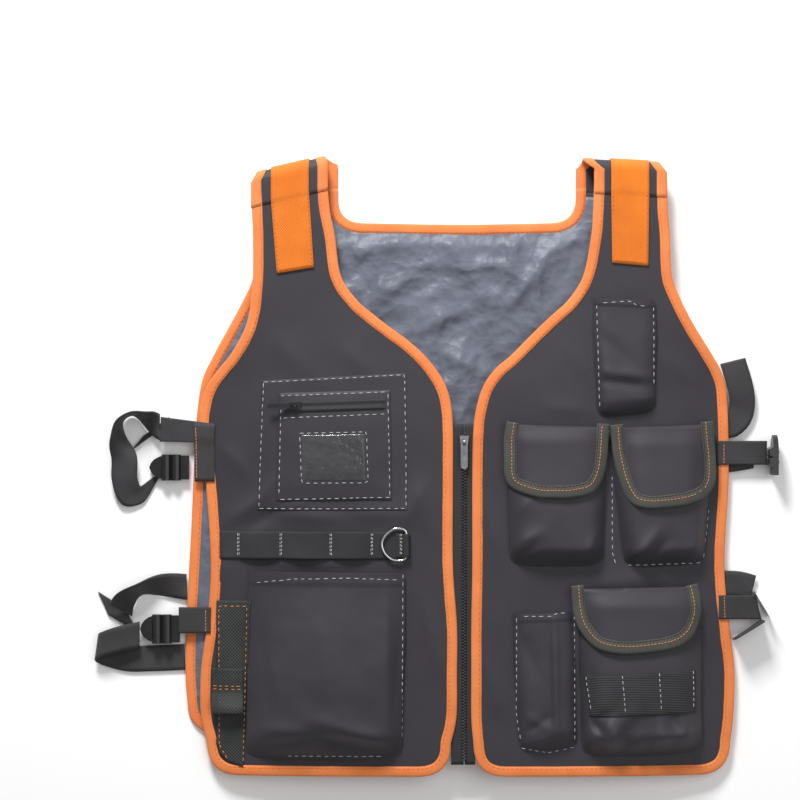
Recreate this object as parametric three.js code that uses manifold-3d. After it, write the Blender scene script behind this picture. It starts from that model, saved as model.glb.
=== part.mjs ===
import * as THREE from 'three';
import { mergeVertices } from 'three/addons/utils/BufferGeometryUtils.js';
import Module from 'manifold-3d';

// A utility work vest, laid on its back with its two fronts up.
// X runs across from the centre zip to the wearer's left, Y from the front hem to the shoulders,
// and Z stands up from the surface that the vest lies on. Lengths are millimetres.

// Cloth, trim and clearance
const CLOTH = 1.6;
const LINING = 1.0;
const FILM = 0.8;
const BINDING_WALL = 0.9;
const BINDING_WIDTH = 10.5;
const FLAP_BINDING_WIDTH = 9;
const WEBBING_WIDTH = 26;
const WEBBING_WALL = 1.7;
const GAP = 0.3;

// Body
const FRONT_WIDTH = 262;
const FRONT_LENGTH = 617;
const HEM_RADIUS = 30;
const BACK_HEM = 38;
const BACK_HEM_RADIUS = 34;
const NECKLINE_RADIUS = 16;
const SEAM_DROP = 31;
const SIDE_HEIGHT = 7.5;
const CHEST_RISE = 18;
const SHOULDER_HEIGHT = 20;
const SHOULDER_WEBBING_WIDTH = 38;
const SHOULDER_WEBBING_DROP = 104;
const SHOULDER_WEBBING_BACK = 40;
const SHOULDER_OVERLAP = 38;
const STRAP_FLAT_UP = 0.955 * FRONT_LENGTH;
const BACK_BASE = GAP + WEBBING_WALL;

// Centre zip
const ZIP_LENGTH = 340;
const ZIP_START = 12;
const ZIP_CENTRE = 2;
const ZIP_TEETH_WIDTH = 5;
const ZIP_TAPE_WIDTH = 20;
const ZIP_TAPE_WALL = 0.8;
const ZIP_TEETH_WALL = 3;
const ZIP_TEETH_SHORT = 4;
const ZIP_SLIDER_UP = ZIP_START + ZIP_LENGTH - 18;
const PULL_LENGTH = 27;
const PULL_WIDTH = 7;
const PULL_WALL = 1.2;
const PULL_NECK = 6;
const PULL_SLOT_START = 0.6;
const PULL_SLOT_END = 4.6;
const SLIDER_WIDTH = 9;
const SLIDER_LENGTH = 13;
const SLIDER_HEIGHT = 2.4;
const LUG_INNER = 1.6;
const LUG_OUTER = 2.9;
const LUG_WIDTH = 2;
const PULL_AXIS_UP = SLIDER_HEIGHT + PULL_WALL / 2 + GAP + 0.2;

// Identity pocket on the wearer's right
const ID_PATCH_WIDTH = 144;
const ID_PATCH_HEIGHT = 131;
const ID_POCKET_WIDTH = 111;
const ID_POCKET_HEIGHT = 103;
const ID_WINDOW_WIDTH = 68;
const ID_WINDOW_HEIGHT = 50;
const POCKET_ZIP_LENGTH = 100;
const POCKET_ZIP_WIDTH = 12;
const POCKET_TEETH_WIDTH = 4;
const POCKET_TEETH_WALL = 1.2;
const POCKET_TEETH_SHORT = 2;
const POCKET_PULL_WIDTH = 4.4;
const POCKET_SLIDER_IN = 10;
const ID_LEFT = -0.771 * FRONT_WIDTH;
const ID_LOW = 0.4344 * FRONT_LENGTH;
const ID_POCKET_LEFT = ID_LEFT + 20;
const ID_POCKET_LOW = ID_LOW + 10;
const ID_WINDOW_LOW = ID_POCKET_LOW + 16;
const POCKET_ZIP_LEFT = ID_POCKET_LEFT + 5;
const POCKET_ZIP_LOW = ID_POCKET_LOW + 86;

// Tool loops and ring
const TOOL_LEFT = -0.916 * FRONT_WIDTH;
const TOOL_LOW = 0.3517 * FRONT_LENGTH;
const TOOL_BAND_LENGTH = 171;
const TOOL_BAND_HEIGHT = 28;
const TOOL_LOOP_RISE = 9;
const RING_HEIGHT = 36;
const RING_REACH = 28;
const RING_WIRE = 3;
const RING_TAB_LENGTH = 13;
const RING_TAB_TURN = 9;
const RING_TAB_WIDTH = 25;

// Woven patch and hammer loop beside the cargo pocket
const SIDE_PATCH_LEFT = -0.954 * FRONT_WIDTH;
const SIDE_PATCH_LOW = 12;
const SIDE_PATCH_WIDTH = 0.137 * FRONT_WIDTH;
const SIDE_PATCH_HEIGHT = 159;
const HAMMER_LOOP_LEFT = SIDE_PATCH_LEFT - 3;
const HAMMER_LOOP_WIDTH = 32;
const HAMMER_LOOP_RISE = 11;

// Elastic loops across the lower pocket
const ELASTIC_IN = 6;
const ELASTIC_UP = 48;
const ELASTIC_HEIGHT = 40;

// Grid that the draped cloth follows, and its finer share under pockets
const CELL = 69;
const FINE = CELL / 3;
const LOOP_STEP = FINE / 2;
const HAMMER_LOOP_LOW = 5 * LOOP_STEP;
const HAMMER_LOOP_HEIGHT = 4 * LOOP_STEP;
const LINING_CELL = CELL * 0.75;
const EDGE_STEPS = 11;
const CORNER_STEPS = 3;

// Heights of the layers above the underside of the front cloth
const BINDING_LEG = GAP + BINDING_WALL;
const ON_CLOTH = CLOTH + GAP;
const ON_BINDING = CLOTH + BINDING_LEG + GAP;
const ID_LAYER = ON_CLOTH;
const ID_POCKET_LAYER = ID_LAYER + LINING + GAP;
const ID_TOP_LAYER = ID_POCKET_LAYER + LINING + GAP;
const ZIP_UNDER = -BINDING_LEG - GAP - ZIP_TAPE_WALL;

// How far an outline runs past its seam, so that its trims reach the seam's end
const SEAM_RUN = 40;

// Outline of each front, as shares of its length and width: height, neck edge and side edge
const RIGHT_FRONT_ROWS = [
  { up: 0.097, inner: 0.019, outer: 1.0 },
  { up: 0.243, inner: 0.019, outer: 0.977 },
  { up: 0.34, inner: 0.034, outer: 0.962 },
  { up: 0.47, inner: 0.034, outer: 0.981 },
  { up: 0.587, inner: 0.034, outer: 1.008 },
  { up: 0.635, inner: 0.065, outer: 0.977 },
  { up: 0.681, inner: 0.141, outer: 0.889 },
  { up: 0.726, inner: 0.271, outer: 0.832 },
  { up: 0.771, inner: 0.401, outer: 0.802 },
  { up: 0.81, inner: 0.462, outer: 0.798 },
  { up: 0.875, inner: 0.485, outer: 0.802 },
  { up: 0.915, inner: 0.511, outer: 0.805 },
];
const LEFT_FRONT_ROWS = [
  { up: 0.097, inner: 0.034, outer: 1.05 },
  { up: 0.243, inner: 0.034, outer: 1.031 },
  { up: 0.34, inner: 0.038, outer: 1.011 },
  { up: 0.47, inner: 0.038, outer: 1.023 },
  { up: 0.587, inner: 0.057, outer: 1.023 },
  { up: 0.635, inner: 0.084, outer: 1.015 },
  { up: 0.681, inner: 0.183, outer: 0.966 },
  { up: 0.726, inner: 0.29, outer: 0.893 },
  { up: 0.771, inner: 0.405, outer: 0.84 },
  { up: 0.81, inner: 0.458, outer: 0.802 },
  { up: 0.875, inner: 0.492, outer: 0.794 },
  { up: 0.915, inner: 0.504, outer: 0.782 },
];

// Side edges of the back, as the same shares; it lies a little towards the wearer's right
const BACK_ROWS = [
  { up: 0.16, right: 1.059, left: 0.973 },
  { up: 0.25, right: 1.057, left: 0.973 },
  { up: 0.405, right: 1.038, left: 0.973 },
  { up: 0.551, right: 1.023, left: 0.973 },
  { up: 0.635, right: 1.0, left: 0.962 },
  { up: 0.681, right: 0.954, left: 0.939 },
  { up: 0.726, right: 0.897, left: 0.893 },
  { up: 0.771, right: 0.84, left: 0.844 },
  { up: 0.81, right: 0.802, left: 0.802 },
  { up: 0.875, right: 0.79, left: 0.779 },
  { up: 0.92, right: 0.79, left: 0.775 },
];
const BACK_NECKLINE_UP = 0.898;

// Each shoulder strap, as shares of the width and length: its two edges in front, over the fold
// and behind, the height of the fold, and how the fold slopes down towards the arm
const SHOULDERS = {
  right: {
    side: -1,
    front: [0.511, 0.805],
    fold: [0.523, 0.786],
    back: [0.475, 0.79],
    top: 0.992,
    slant: -0.23,
    webbing: 0.656,
  },
  left: {
    side: 1,
    front: [0.504, 0.782],
    fold: [0.462, 0.756],
    back: [0.439, 0.775],
    top: 0.998,
    slant: -0.052,
    webbing: 0.64,
  },
};

// Long soft dents of the fronts: place, half sizes and depth as shares of the width and rise
const FRONT_DENTS = [
  { across: -0.88, up: 0.42, wide: 0.2, tall: 0.12, deep: 0.12 },
  { across: -0.3, up: 0.66, wide: 0.25, tall: 0.08, deep: 0.08 },
  { across: 0.75, up: 0.62, wide: 0.2, tall: 0.1, deep: 0.1 },
  { across: 0.4, up: 0.28, wide: 0.14, tall: 0.05, deep: 0.1 },
];

// Creases of the lining: middle, heading in degrees, half length and half width, and height
const LINING_CREASES = [
  { across: -0.28, up: 0.83, heading: 20, long: 0.42, wide: 0.07, high: 2.6 },
  { across: 0.2, up: 0.79, heading: -28, long: 0.4, wide: 0.08, high: 3.0 },
  { across: -0.12, up: 0.71, heading: 60, long: 0.3, wide: 0.07, high: 2.4 },
  { across: 0.08, up: 0.62, heading: 82, long: 0.3, wide: 0.08, high: 2.8 },
  { across: -0.94, up: 0.6, heading: 70, long: 0.3, wide: 0.06, high: 1.6 },
  { across: 0.36, up: 0.86, heading: 35, long: 0.2, wide: 0.06, high: 2.0 },
];

// Pockets: left and lower edge, width and height as shares of a front's width and length, then
// the depth of the bag, the height of its mouth and the sewn rim in millimetres
const POCKET_ROWS = [
  { name: 'cargo', left: -0.809, low: 0.026, wide: 0.592, tall: 0.303, depth: 24, mouth: 12, rim: 5 },
  { name: 'pen', left: 0.5, low: 0.588, wide: 0.237, tall: 0.182, depth: 13, mouth: 9, rim: 4 },
  { name: 'upper_inner', left: 0.168, low: 0.339, wide: 0.374, tall: 0.207, depth: 20, mouth: 13, rim: 4 },
  { name: 'upper_outer', left: 0.576, low: 0.3355, wide: 0.37, tall: 0.211, depth: 20, mouth: 13, rim: 4 },
  { name: 'lower', left: 0.45, low: 0.0243, wide: 0.4656, tall: 0.259, depth: 26, mouth: 17, rim: 4 },
  { name: 'narrow', left: 0.195, low: 0.0357, wide: 0.225, tall: 0.2285, depth: 13, mouth: 9, rim: 4 },
];
const POCKETS = Object.fromEntries(POCKET_ROWS.map((row) => [row.name, {
  ...row,
  x: row.left * FRONT_WIDTH,
  y: row.low * FRONT_LENGTH,
  width: row.wide * FRONT_WIDTH,
  height: row.tall * FRONT_LENGTH,
}]));

// Creases pressed into the pockets, from one point to another as shares of the pocket
const POCKET_CREASES = {
  cargo: [
    { fromX: 0.42, fromY: 0.2, toX: 0.98, toY: 0.05, wide: 0.1, deep: 0.3 },
    { fromX: 0.06, fromY: 0.75, toX: 0.2, toY: 0.45, wide: 0.08, deep: 0.14 },
  ],
  pen: [{ fromX: 0.1, fromY: 0.25, toX: 0.3, toY: 0.5, wide: 0.12, deep: 0.15 }],
  upper_inner: [{ fromX: 0.02, fromY: 0.15, toX: 0.25, toY: 0.3, wide: 0.1, deep: 0.18 }],
  upper_outer: [{ fromX: 0.14, fromY: 0.0, toX: 0.42, toY: 0.26, wide: 0.1, deep: 0.3 }],
  lower: [
    { fromX: 0.1, fromY: 0.12, toX: 0.35, toY: 0.3, wide: 0.09, deep: 0.22 },
    { fromX: 0.5, fromY: 0.05, toX: 0.6, toY: 0.3, wide: 0.08, deep: 0.18 },
    { fromX: 0.8, fromY: 0.1, toX: 0.75, toY: 0.35, wide: 0.08, deep: 0.18 },
  ],
  narrow: [{ fromX: 0.8, fromY: 0.1, toX: 0.72, toY: 0.8, wide: 0.12, deep: 0.22 }],
};

// Flaps: how far each stands past its pocket at the sides, above its mouth and below it
const FLAPS = {
  upper_inner: { past: 3, above: 19, drop: 57, radius: 20 },
  upper_outer: { past: 4, above: 18, drop: 66, radius: 20 },
  lower: { past: 6, above: 16, drop: 50, radius: 26 },
};

// Side straps: centre line of the webbing in webbing widths from the strap's anchor on the side
// edge, out and up in plan and rise above the floor, with the heading of its width and its lean
const STRAP_UPPER_RIGHT_UP = 0.561 * FRONT_LENGTH;
const STRAP_LOWER_RIGHT_UP = 0.253 * FRONT_LENGTH;
const STRAP_UPPER_LEFT_UP = 0.5235 * FRONT_LENGTH;
const STRAP_LOWER_LEFT_UP = 0.2723 * FRONT_LENGTH;
const TAIL_WIDTH = 20;

// Stubs sewn on the front's side edges: outline from the strap's anchor, in webbing widths
const UPPER_RIGHT_STUB = [
  { out: 0.27, up: 0.31 },
  { out: 1.54, up: 0.5 },
  { out: 1.58, up: -0.46 },
  { out: 0.35, up: -0.54 },
  { out: 0.23, up: -2 },
  { out: -0.54, up: -2 },
  { out: -0.54, up: 0.23 },
];
const LOWER_RIGHT_STUB = [
  { out: -0.38, up: -0.54 },
  { out: 0.85, up: -0.54 },
  { out: 0.85, up: 0.46 },
  { out: -0.38, up: 0.46 },
];
const UPPER_LEFT_STUB = [
  { out: -0.23, up: -0.46 },
  { out: 1.703, up: -0.46 },
  { out: 1.703, up: 0.46 },
  { out: -0.23, up: 0.46 },
];
const LOWER_LEFT_STUB = [
  { out: -0.15, up: -0.46 },
  { out: 1.49, up: -0.46 },
  { out: 1.27, up: 0.46 },
  { out: -0.15, up: 0.46 },
];

// Release buckles: width, and place of the frame's end from the strap's anchor in webbing widths
const BUCKLES = {
  upper_right: { width: 24, out: 0.46, up: -1.46, rise: 3.5 },
  lower_right: { width: 27, out: 0.81, up: -0.385, rise: 5 },
  upper_left: { width: 24, out: 2.08, up: -0.846, rise: 13.1 },
};
const BUCKLE_FRAME = 26;
const BUCKLE_LENGTH = 40;
const BUCKLE_WALL = 5;
const BARREL_RADIUS = 5;
const BARREL_UP = 4.5;
const BARREL_AT = [13, 23];

// Metal slide on the lower left strap, standing on its edge
const SLIDE = { out: 1.532, up: 0.115, rise: 11.2, wall: 2, width: 29, height: 22, turn: 31 };
const UPPER_RIGHT_LOOP = [
  { out: 1.595, up: 0.1, rise: 0.34, turn: 90, lean: 0 },
  { out: 2.1, up: 0.42, rise: 0.5, turn: 110, lean: 55 },
  { out: 2.65, up: 0.62, rise: 0.55, turn: 100, lean: 82 },
  { out: 3.12, up: 0.3, rise: 0.55, turn: 40, lean: 80 },
  { out: 3.14, up: -0.35, rise: 0.5, turn: 10, lean: 55 },
  { out: 2.95, up: -1.1, rise: 0.4, turn: 0, lean: 4 },
  { out: 2.95, up: -1.9, rise: 0.32, turn: 0, lean: 0 },
  { out: 2.7, up: -2.55, rise: 0.16, turn: -45, lean: 0 },
  { out: 2.15, up: -2.4, rise: 0.07, turn: -70, lean: 0 },
  { out: 1.75, up: -2.05, rise: 0.05, turn: -60, lean: 0 },
];
const UPPER_RIGHT_TAIL = [
  { out: 1.3, up: 0.35, rise: 0.1, turn: -50, lean: 0 },
  { out: 1.9, up: -0.1, rise: 0.09, turn: -50, lean: 0 },
  { out: 2.5, up: -0.55, rise: 0.09, turn: -50, lean: 0 },
];
const LOWER_RIGHT_LOOP = [
  { out: 2.36, up: -0.6, rise: 0.34, turn: 90, lean: 0 },
  { out: 3.1, up: -0.75, rise: 0.46, turn: 92, lean: 0 },
  { out: 3.8, up: -0.95, rise: 0.46, turn: 98, lean: 0 },
  { out: 4.02, up: -1.1, rise: 0.28, turn: 98, lean: 0 },
  { out: 3.8, up: -1.3, rise: 0.08, turn: 96, lean: 0 },
  { out: 2.9, up: -1.55, rise: 0.05, turn: 90, lean: 0 },
  { out: 1.9, up: -1.55, rise: 0.05, turn: 90, lean: 0 },
  { out: 0.64, up: -1.5, rise: 0.05, turn: 88, lean: 0 },
];
const LOWER_RIGHT_LIMB = [
  { out: 0.56, up: 1.22, rise: 0.1, turn: 88, lean: 0 },
  { out: 1.5, up: 1.3, rise: 0.3, turn: 84, lean: 30 },
  { out: 2.35, up: 1.15, rise: 0.46, turn: 70, lean: 62 },
  { out: 2.9, up: 0.75, rise: 0.42, turn: 40, lean: 40 },
  { out: 3.1, up: 0.32, rise: 0.24, turn: 30, lean: 14 },
];
const LOWER_RIGHT_TAIL = [
  { out: 2.75, up: 0.02, rise: 0.09, turn: 62, lean: 0 },
  { out: 3.3, up: 0.28, rise: 0.05, turn: 64, lean: 0 },
  { out: 3.8, up: 0.58, rise: 0.05, turn: 66, lean: 0 },
];
const UPPER_LEFT_UPPER = [
  { out: 0.1, up: 1.05, rise: 0.165, turn: 92, lean: 0 },
  { out: 0.46, up: 1.14, rise: 0.165, turn: 112, lean: 0 },
  { out: 0.74, up: 1.6, rise: 0.18, turn: 158, lean: 0 },
  { out: 0.72, up: 2.4, rise: 0.3, turn: 184, lean: 0 },
  { out: 0.4, up: 3.55, rise: 0.26, turn: 194, lean: 0 },
];
const UPPER_LEFT_LOWER = [
  { out: 0.1, up: -0.28, rise: 0.205, turn: 90, lean: 0 },
  { out: 0.7, up: -0.2, rise: 0.17, turn: 90, lean: 0 },
  { out: 1.22, up: -0.1, rise: 0.2, turn: 90, lean: 0 },
];
const LOWER_LEFT_FOLD = [
  { out: 0.1, up: 0.9, rise: 0.21, turn: 90, lean: 0 },
  { out: 0.7, up: 0.86, rise: 0.15, turn: 86, lean: 0 },
  { out: 1.2, up: 0.72, rise: 0.16, turn: 76, lean: 0 },
];
const LOWER_LEFT_TAIL = [
  { out: 1.54, up: -0.5, rise: 0.5, turn: 90, lean: 88 },
  { out: 1.0, up: -0.86, rise: 0.5, turn: 100, lean: 86 },
  { out: 0.42, up: -1.22, rise: 0.5, turn: 100, lean: 84 },
];

// Finishes
const COLOURS = {
  cloth: { color: 0x3b393e, roughness: 0.85, metalness: 0 },
  lining: { color: 0x6b7380, roughness: 0.7, metalness: 0 },
  binding: { color: 0xf0853a, roughness: 0.8, metalness: 0 },
  orangeWebbing: { color: 0xf07d10, roughness: 0.8, metalness: 0 },
  webbing: { color: 0x2b2b2d, roughness: 0.85, metalness: 0 },
  flapBinding: { color: 0x4a4d47, roughness: 0.8, metalness: 0 },
  film: { color: 0xd8dde0, roughness: 0.1, metalness: 0 },
  plastic: { color: 0x151517, roughness: 0.4, metalness: 0 },
  metal: { color: 0xb9bcc0, roughness: 0.25, metalness: 1 },
};

const vest = new THREE.Group();
const wasm = await Module();
wasm.setup();

// Adds one named sub-part
function add(name, geometry, finish) {
  const mesh = new THREE.Mesh(geometry, new THREE.MeshStandardMaterial(COLOURS[finish]));
  mesh.name = name;
  vest.add(mesh);
}

function solidOf(geometry) {
  const bare = geometry.clone();
  bare.deleteAttribute('normal');
  bare.deleteAttribute('uv');
  const merged = mergeVertices(bare, 1e-4);
  return new wasm.Manifold(new wasm.Mesh({
    numProp: 3,
    vertProperties: new Float32Array(merged.attributes.position.array),
    triVerts: new Uint32Array(merged.index.array),
  }));
}

function geometryOf(solid) {
  const mesh = solid.getMesh();
  const geometry = new THREE.BufferGeometry();
  geometry.setAttribute('position', new THREE.BufferAttribute(mesh.vertProperties, 3));
  geometry.setIndex(new THREE.BufferAttribute(mesh.triVerts, 1));
  return geometry;
}

function smooth(low, high, value) {
  return THREE.MathUtils.smoothstep(value, low, high);
}

function bump(distance) {
  return Math.exp(-distance * distance);
}

// Height of the underside of the front cloth where no piece presses on it
function drapedHeight(x, y) {
  const across = Math.min(Math.abs(x) / FRONT_WIDTH, 1);
  let height = SIDE_HEIGHT + CHEST_RISE * (1 - across ** 3);
  for (const dent of FRONT_DENTS) {
    const dx = (x / FRONT_WIDTH - dent.across) / dent.wide;
    const dy = (y / FRONT_LENGTH - dent.up) / dent.tall;
    height -= CHEST_RISE * dent.deep * bump(Math.hypot(dx, dy));
  }
  const towardsShoulder = smooth(0.62 * FRONT_LENGTH, 0.8 * FRONT_LENGTH, y);
  return THREE.MathUtils.lerp(height, SHOULDER_HEIGHT, towardsShoulder);
}

// The same height read off the triangles of the grid, so that layered pieces stay parallel
function frontHeight(x, y) {
  const column = Math.floor(x / CELL + 1e-6);
  const row = Math.floor(y / CELL + 1e-6);
  const s = x / CELL - column;
  const t = y / CELL - row;
  const corner = (i, j) => drapedHeight((column + i) * CELL, (row + j) * CELL);
  if (s >= t) {
    return corner(0, 0) * (1 - s) + corner(1, 0) * (s - t) + corner(1, 1) * t;
  }
  return corner(0, 0) * (1 - t) + corner(0, 1) * (t - s) + corner(1, 1) * s;
}

// Closed slab between two height functions over a box, on the grid's own lines
function slab(low, high, box, step) {
  const startX = Math.floor(box.min.x / step) - 1;
  const startY = Math.floor(box.min.y / step) - 1;
  const columns = Math.ceil(box.max.x / step) + 1 - startX;
  const rows = Math.ceil(box.max.y / step) + 1 - startY;
  const points = [];
  for (const height of [low, high]) {
    for (let j = 0; j <= rows; j++) {
      for (let i = 0; i <= columns; i++) {
        const x = (startX + i) * step;
        const y = (startY + j) * step;
        points.push(x, y, height(x, y));
      }
    }
  }
  const layer = (columns + 1) * (rows + 1);
  const at = (i, j, k) => k * layer + j * (columns + 1) + i;
  const faces = [];
  for (let j = 0; j < rows; j++) {
    for (let i = 0; i < columns; i++) {
      faces.push(at(i, j, 1), at(i + 1, j, 1), at(i + 1, j + 1, 1));
      faces.push(at(i, j, 1), at(i + 1, j + 1, 1), at(i, j + 1, 1));
      faces.push(at(i, j, 0), at(i + 1, j + 1, 0), at(i + 1, j, 0));
      faces.push(at(i, j, 0), at(i, j + 1, 0), at(i + 1, j + 1, 0));
    }
  }
  for (let i = 0; i < columns; i++) {
    faces.push(at(i, 0, 0), at(i + 1, 0, 0), at(i + 1, 0, 1));
    faces.push(at(i, 0, 0), at(i + 1, 0, 1), at(i, 0, 1));
    faces.push(at(i, rows, 0), at(i + 1, rows, 1), at(i + 1, rows, 0));
    faces.push(at(i, rows, 0), at(i, rows, 1), at(i + 1, rows, 1));
  }
  for (let j = 0; j < rows; j++) {
    faces.push(at(0, j, 0), at(0, j + 1, 1), at(0, j + 1, 0));
    faces.push(at(0, j, 0), at(0, j, 1), at(0, j + 1, 1));
    faces.push(at(columns, j, 0), at(columns, j + 1, 0), at(columns, j + 1, 1));
    faces.push(at(columns, j, 0), at(columns, j + 1, 1), at(columns, j, 1));
  }
  return new wasm.Manifold(new wasm.Mesh({
    numProp: 3,
    vertProperties: new Float32Array(points),
    triVerts: new Uint32Array(faces),
  }));
}

// Outline points turned anticlockwise, with none repeated
function closedRing(points) {
  const ring = points.filter((point, i) => point.distanceTo(points[(i + 1) % points.length]) > 0.05);
  return THREE.ShapeUtils.area(ring) > 0 ? ring : ring.reverse();
}

// Outline moved inwards by a distance
function inset(points, distance) {
  const ring = closedRing(points);
  return ring.map((point, i) => {
    const before = ring[(i + ring.length - 1) % ring.length];
    const after = ring[(i + 1) % ring.length];
    const a = point.clone().sub(before).normalize();
    const b = after.clone().sub(point).normalize();
    const bisector = new THREE.Vector2(-(a.y + b.y), a.x + b.x).normalize();
    const reach = distance / Math.max(0.4, bisector.dot(new THREE.Vector2(-a.y, a.x)));
    return point.clone().addScaledVector(bisector, reach);
  });
}

// Upright prism over an outline, taller than the whole vest
function prism(points) {
  const tall = 400;
  const geometry = new THREE.ExtrudeGeometry(new THREE.Shape(closedRing(points)), {
    depth: tall,
    bevelEnabled: false,
  });
  geometry.translate(0, 0, -tall / 2);
  return solidOf(geometry);
}

// Piece of cloth cut to an outline and laid on a base, between two offsets above it
function drape(points, low, high, base = frontHeight, step = CELL) {
  const lowAt = typeof low === 'function' ? low : () => low;
  const highAt = typeof high === 'function' ? high : () => high;
  const box = new THREE.Box2().setFromPoints(points);
  const sheet = slab((x, y) => base(x, y) + lowAt(x, y), (x, y) => base(x, y) + highAt(x, y), box, step);
  return sheet.intersect(prism(points));
}

function rectangle(x, y, width, height) {
  return [
    new THREE.Vector2(x, y),
    new THREE.Vector2(x + width, y),
    new THREE.Vector2(x + width, y + height),
    new THREE.Vector2(x, y + height),
  ];
}

// Smooth edge through rows, from low to high
function edgePoints(rows, side, column, steps) {
  const knots = rows.map((row) => new THREE.Vector2(
    side * row[column] * FRONT_WIDTH,
    row.up * FRONT_LENGTH,
  ));
  return new THREE.SplineCurve(knots).getPoints(steps);
}

// Quarter turn that rounds a corner between two points on its two sides
function corner(from, at, to) {
  return new THREE.QuadraticBezierCurve(from, at, to).getPoints(CORNER_STEPS);
}

// Outline of one front; it can run past the seam so that trims follow its edges to the end
function frontOutline(shoulder, rows, past) {
  const side = shoulder.side;
  const inner = edgePoints(rows, side, 'inner', EDGE_STEPS);
  const outer = edgePoints(rows, side, 'outer', EDGE_STEPS);
  const hemInner = new THREE.Vector2(inner[0].x, 0);
  const hemOuter = new THREE.Vector2(outer[0].x, 0);
  const low = new THREE.Vector2(0, HEM_RADIUS);
  const inwards = new THREE.Vector2(side * HEM_RADIUS, 0);
  const wide = new THREE.Vector2(side * HEM_RADIUS * 1.4, 0);
  const seam = (share) => new THREE.Vector2(
    side * share * FRONT_WIDTH,
    seamHeight(shoulder, share) - GAP + past,
  );
  return [
    ...corner(hemInner.clone().add(low), hemInner, hemInner.clone().add(inwards)),
    ...corner(hemOuter.clone().sub(wide), hemOuter, hemOuter.clone().add(low)),
    ...outer,
    seam(shoulder.front[1]),
    seam(shoulder.front[0]),
    ...inner.reverse(),
  ];
}

// Height of the shoulder seam at a distance from the zip, given as a share of the width
function seamHeight(shoulder, share) {
  return foldHeight(shoulder, share) - SEAM_DROP;
}

function foldHeight(shoulder, share) {
  const middle = (shoulder.fold[0] + shoulder.fold[1]) / 2;
  return shoulder.top * FRONT_LENGTH + shoulder.slant * (share - middle) * FRONT_WIDTH;
}

// Outline of the back up to where its straps start to fold over the shoulders
function backOutline(past) {
  const right = edgePoints(BACK_ROWS, -1, 'right', EDGE_STEPS);
  const left = edgePoints(BACK_ROWS, 1, 'left', EDGE_STEPS);
  const hemRight = new THREE.Vector2(right[0].x, BACK_HEM);
  const hemLeft = new THREE.Vector2(left[0].x, BACK_HEM);
  const low = new THREE.Vector2(0, BACK_HEM_RADIUS);
  const wide = new THREE.Vector2(BACK_HEM_RADIUS, 0);
  const neck = BACK_NECKLINE_UP * FRONT_LENGTH;
  const top = STRAP_FLAT_UP + past;
  const strap = (shoulder, index) => shoulder.side * shoulder.back[index] * FRONT_WIDTH;
  const innerLeft = strap(SHOULDERS.left, 0);
  const innerRight = strap(SHOULDERS.right, 0);
  const neckCorner = (x, sign) => [
    new THREE.Vector2(x, neck + NECKLINE_RADIUS),
    new THREE.Vector2(x, neck),
    new THREE.Vector2(x + sign * NECKLINE_RADIUS, neck),
  ];
  return [
    ...corner(hemRight.clone().add(low), hemRight, hemRight.clone().add(wide)),
    ...corner(hemLeft.clone().sub(wide), hemLeft, hemLeft.clone().add(low)),
    ...left,
    new THREE.Vector2(strap(SHOULDERS.left, 1), top),
    new THREE.Vector2(innerLeft, top),
    ...corner(...neckCorner(innerLeft, -1)),
    ...corner(...neckCorner(innerRight, 1).reverse()),
    new THREE.Vector2(innerRight, top),
    new THREE.Vector2(strap(SHOULDERS.right, 1), top),
    ...right.reverse(),
  ];
}

// Closed solid lofted through sections of equal count, with its ends capped
function loft(sections, capFaces) {
  const count = sections[0].length;
  const points = sections.flat();
  const faces = [];
  for (let j = 0; j + 1 < sections.length; j++) {
    for (let i = 0; i < count; i++) {
      const a = j * count + i;
      const b = j * count + (i + 1) % count;
      faces.push(a, b, b + count, a, b + count, a + count);
    }
  }
  const last = (sections.length - 1) * count;
  for (const [a, b, c] of capFaces) {
    faces.push(a, c, b, last + a, last + b, last + c);
  }
  let volume = 0;
  for (let i = 0; i < faces.length; i += 3) {
    const [a, b, c] = [points[faces[i]], points[faces[i + 1]], points[faces[i + 2]]];
    volume += a.dot(new THREE.Vector3().crossVectors(b, c)) / 6;
  }
  if (volume < 0) {
    faces.reverse();
  }
  const geometry = new THREE.BufferGeometry().setFromPoints(points);
  geometry.setIndex(faces);
  return geometry;
}

const FLAT_CAP = [[0, 1, 2], [0, 2, 3]];
const backHeight = () => BACK_BASE;

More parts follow.
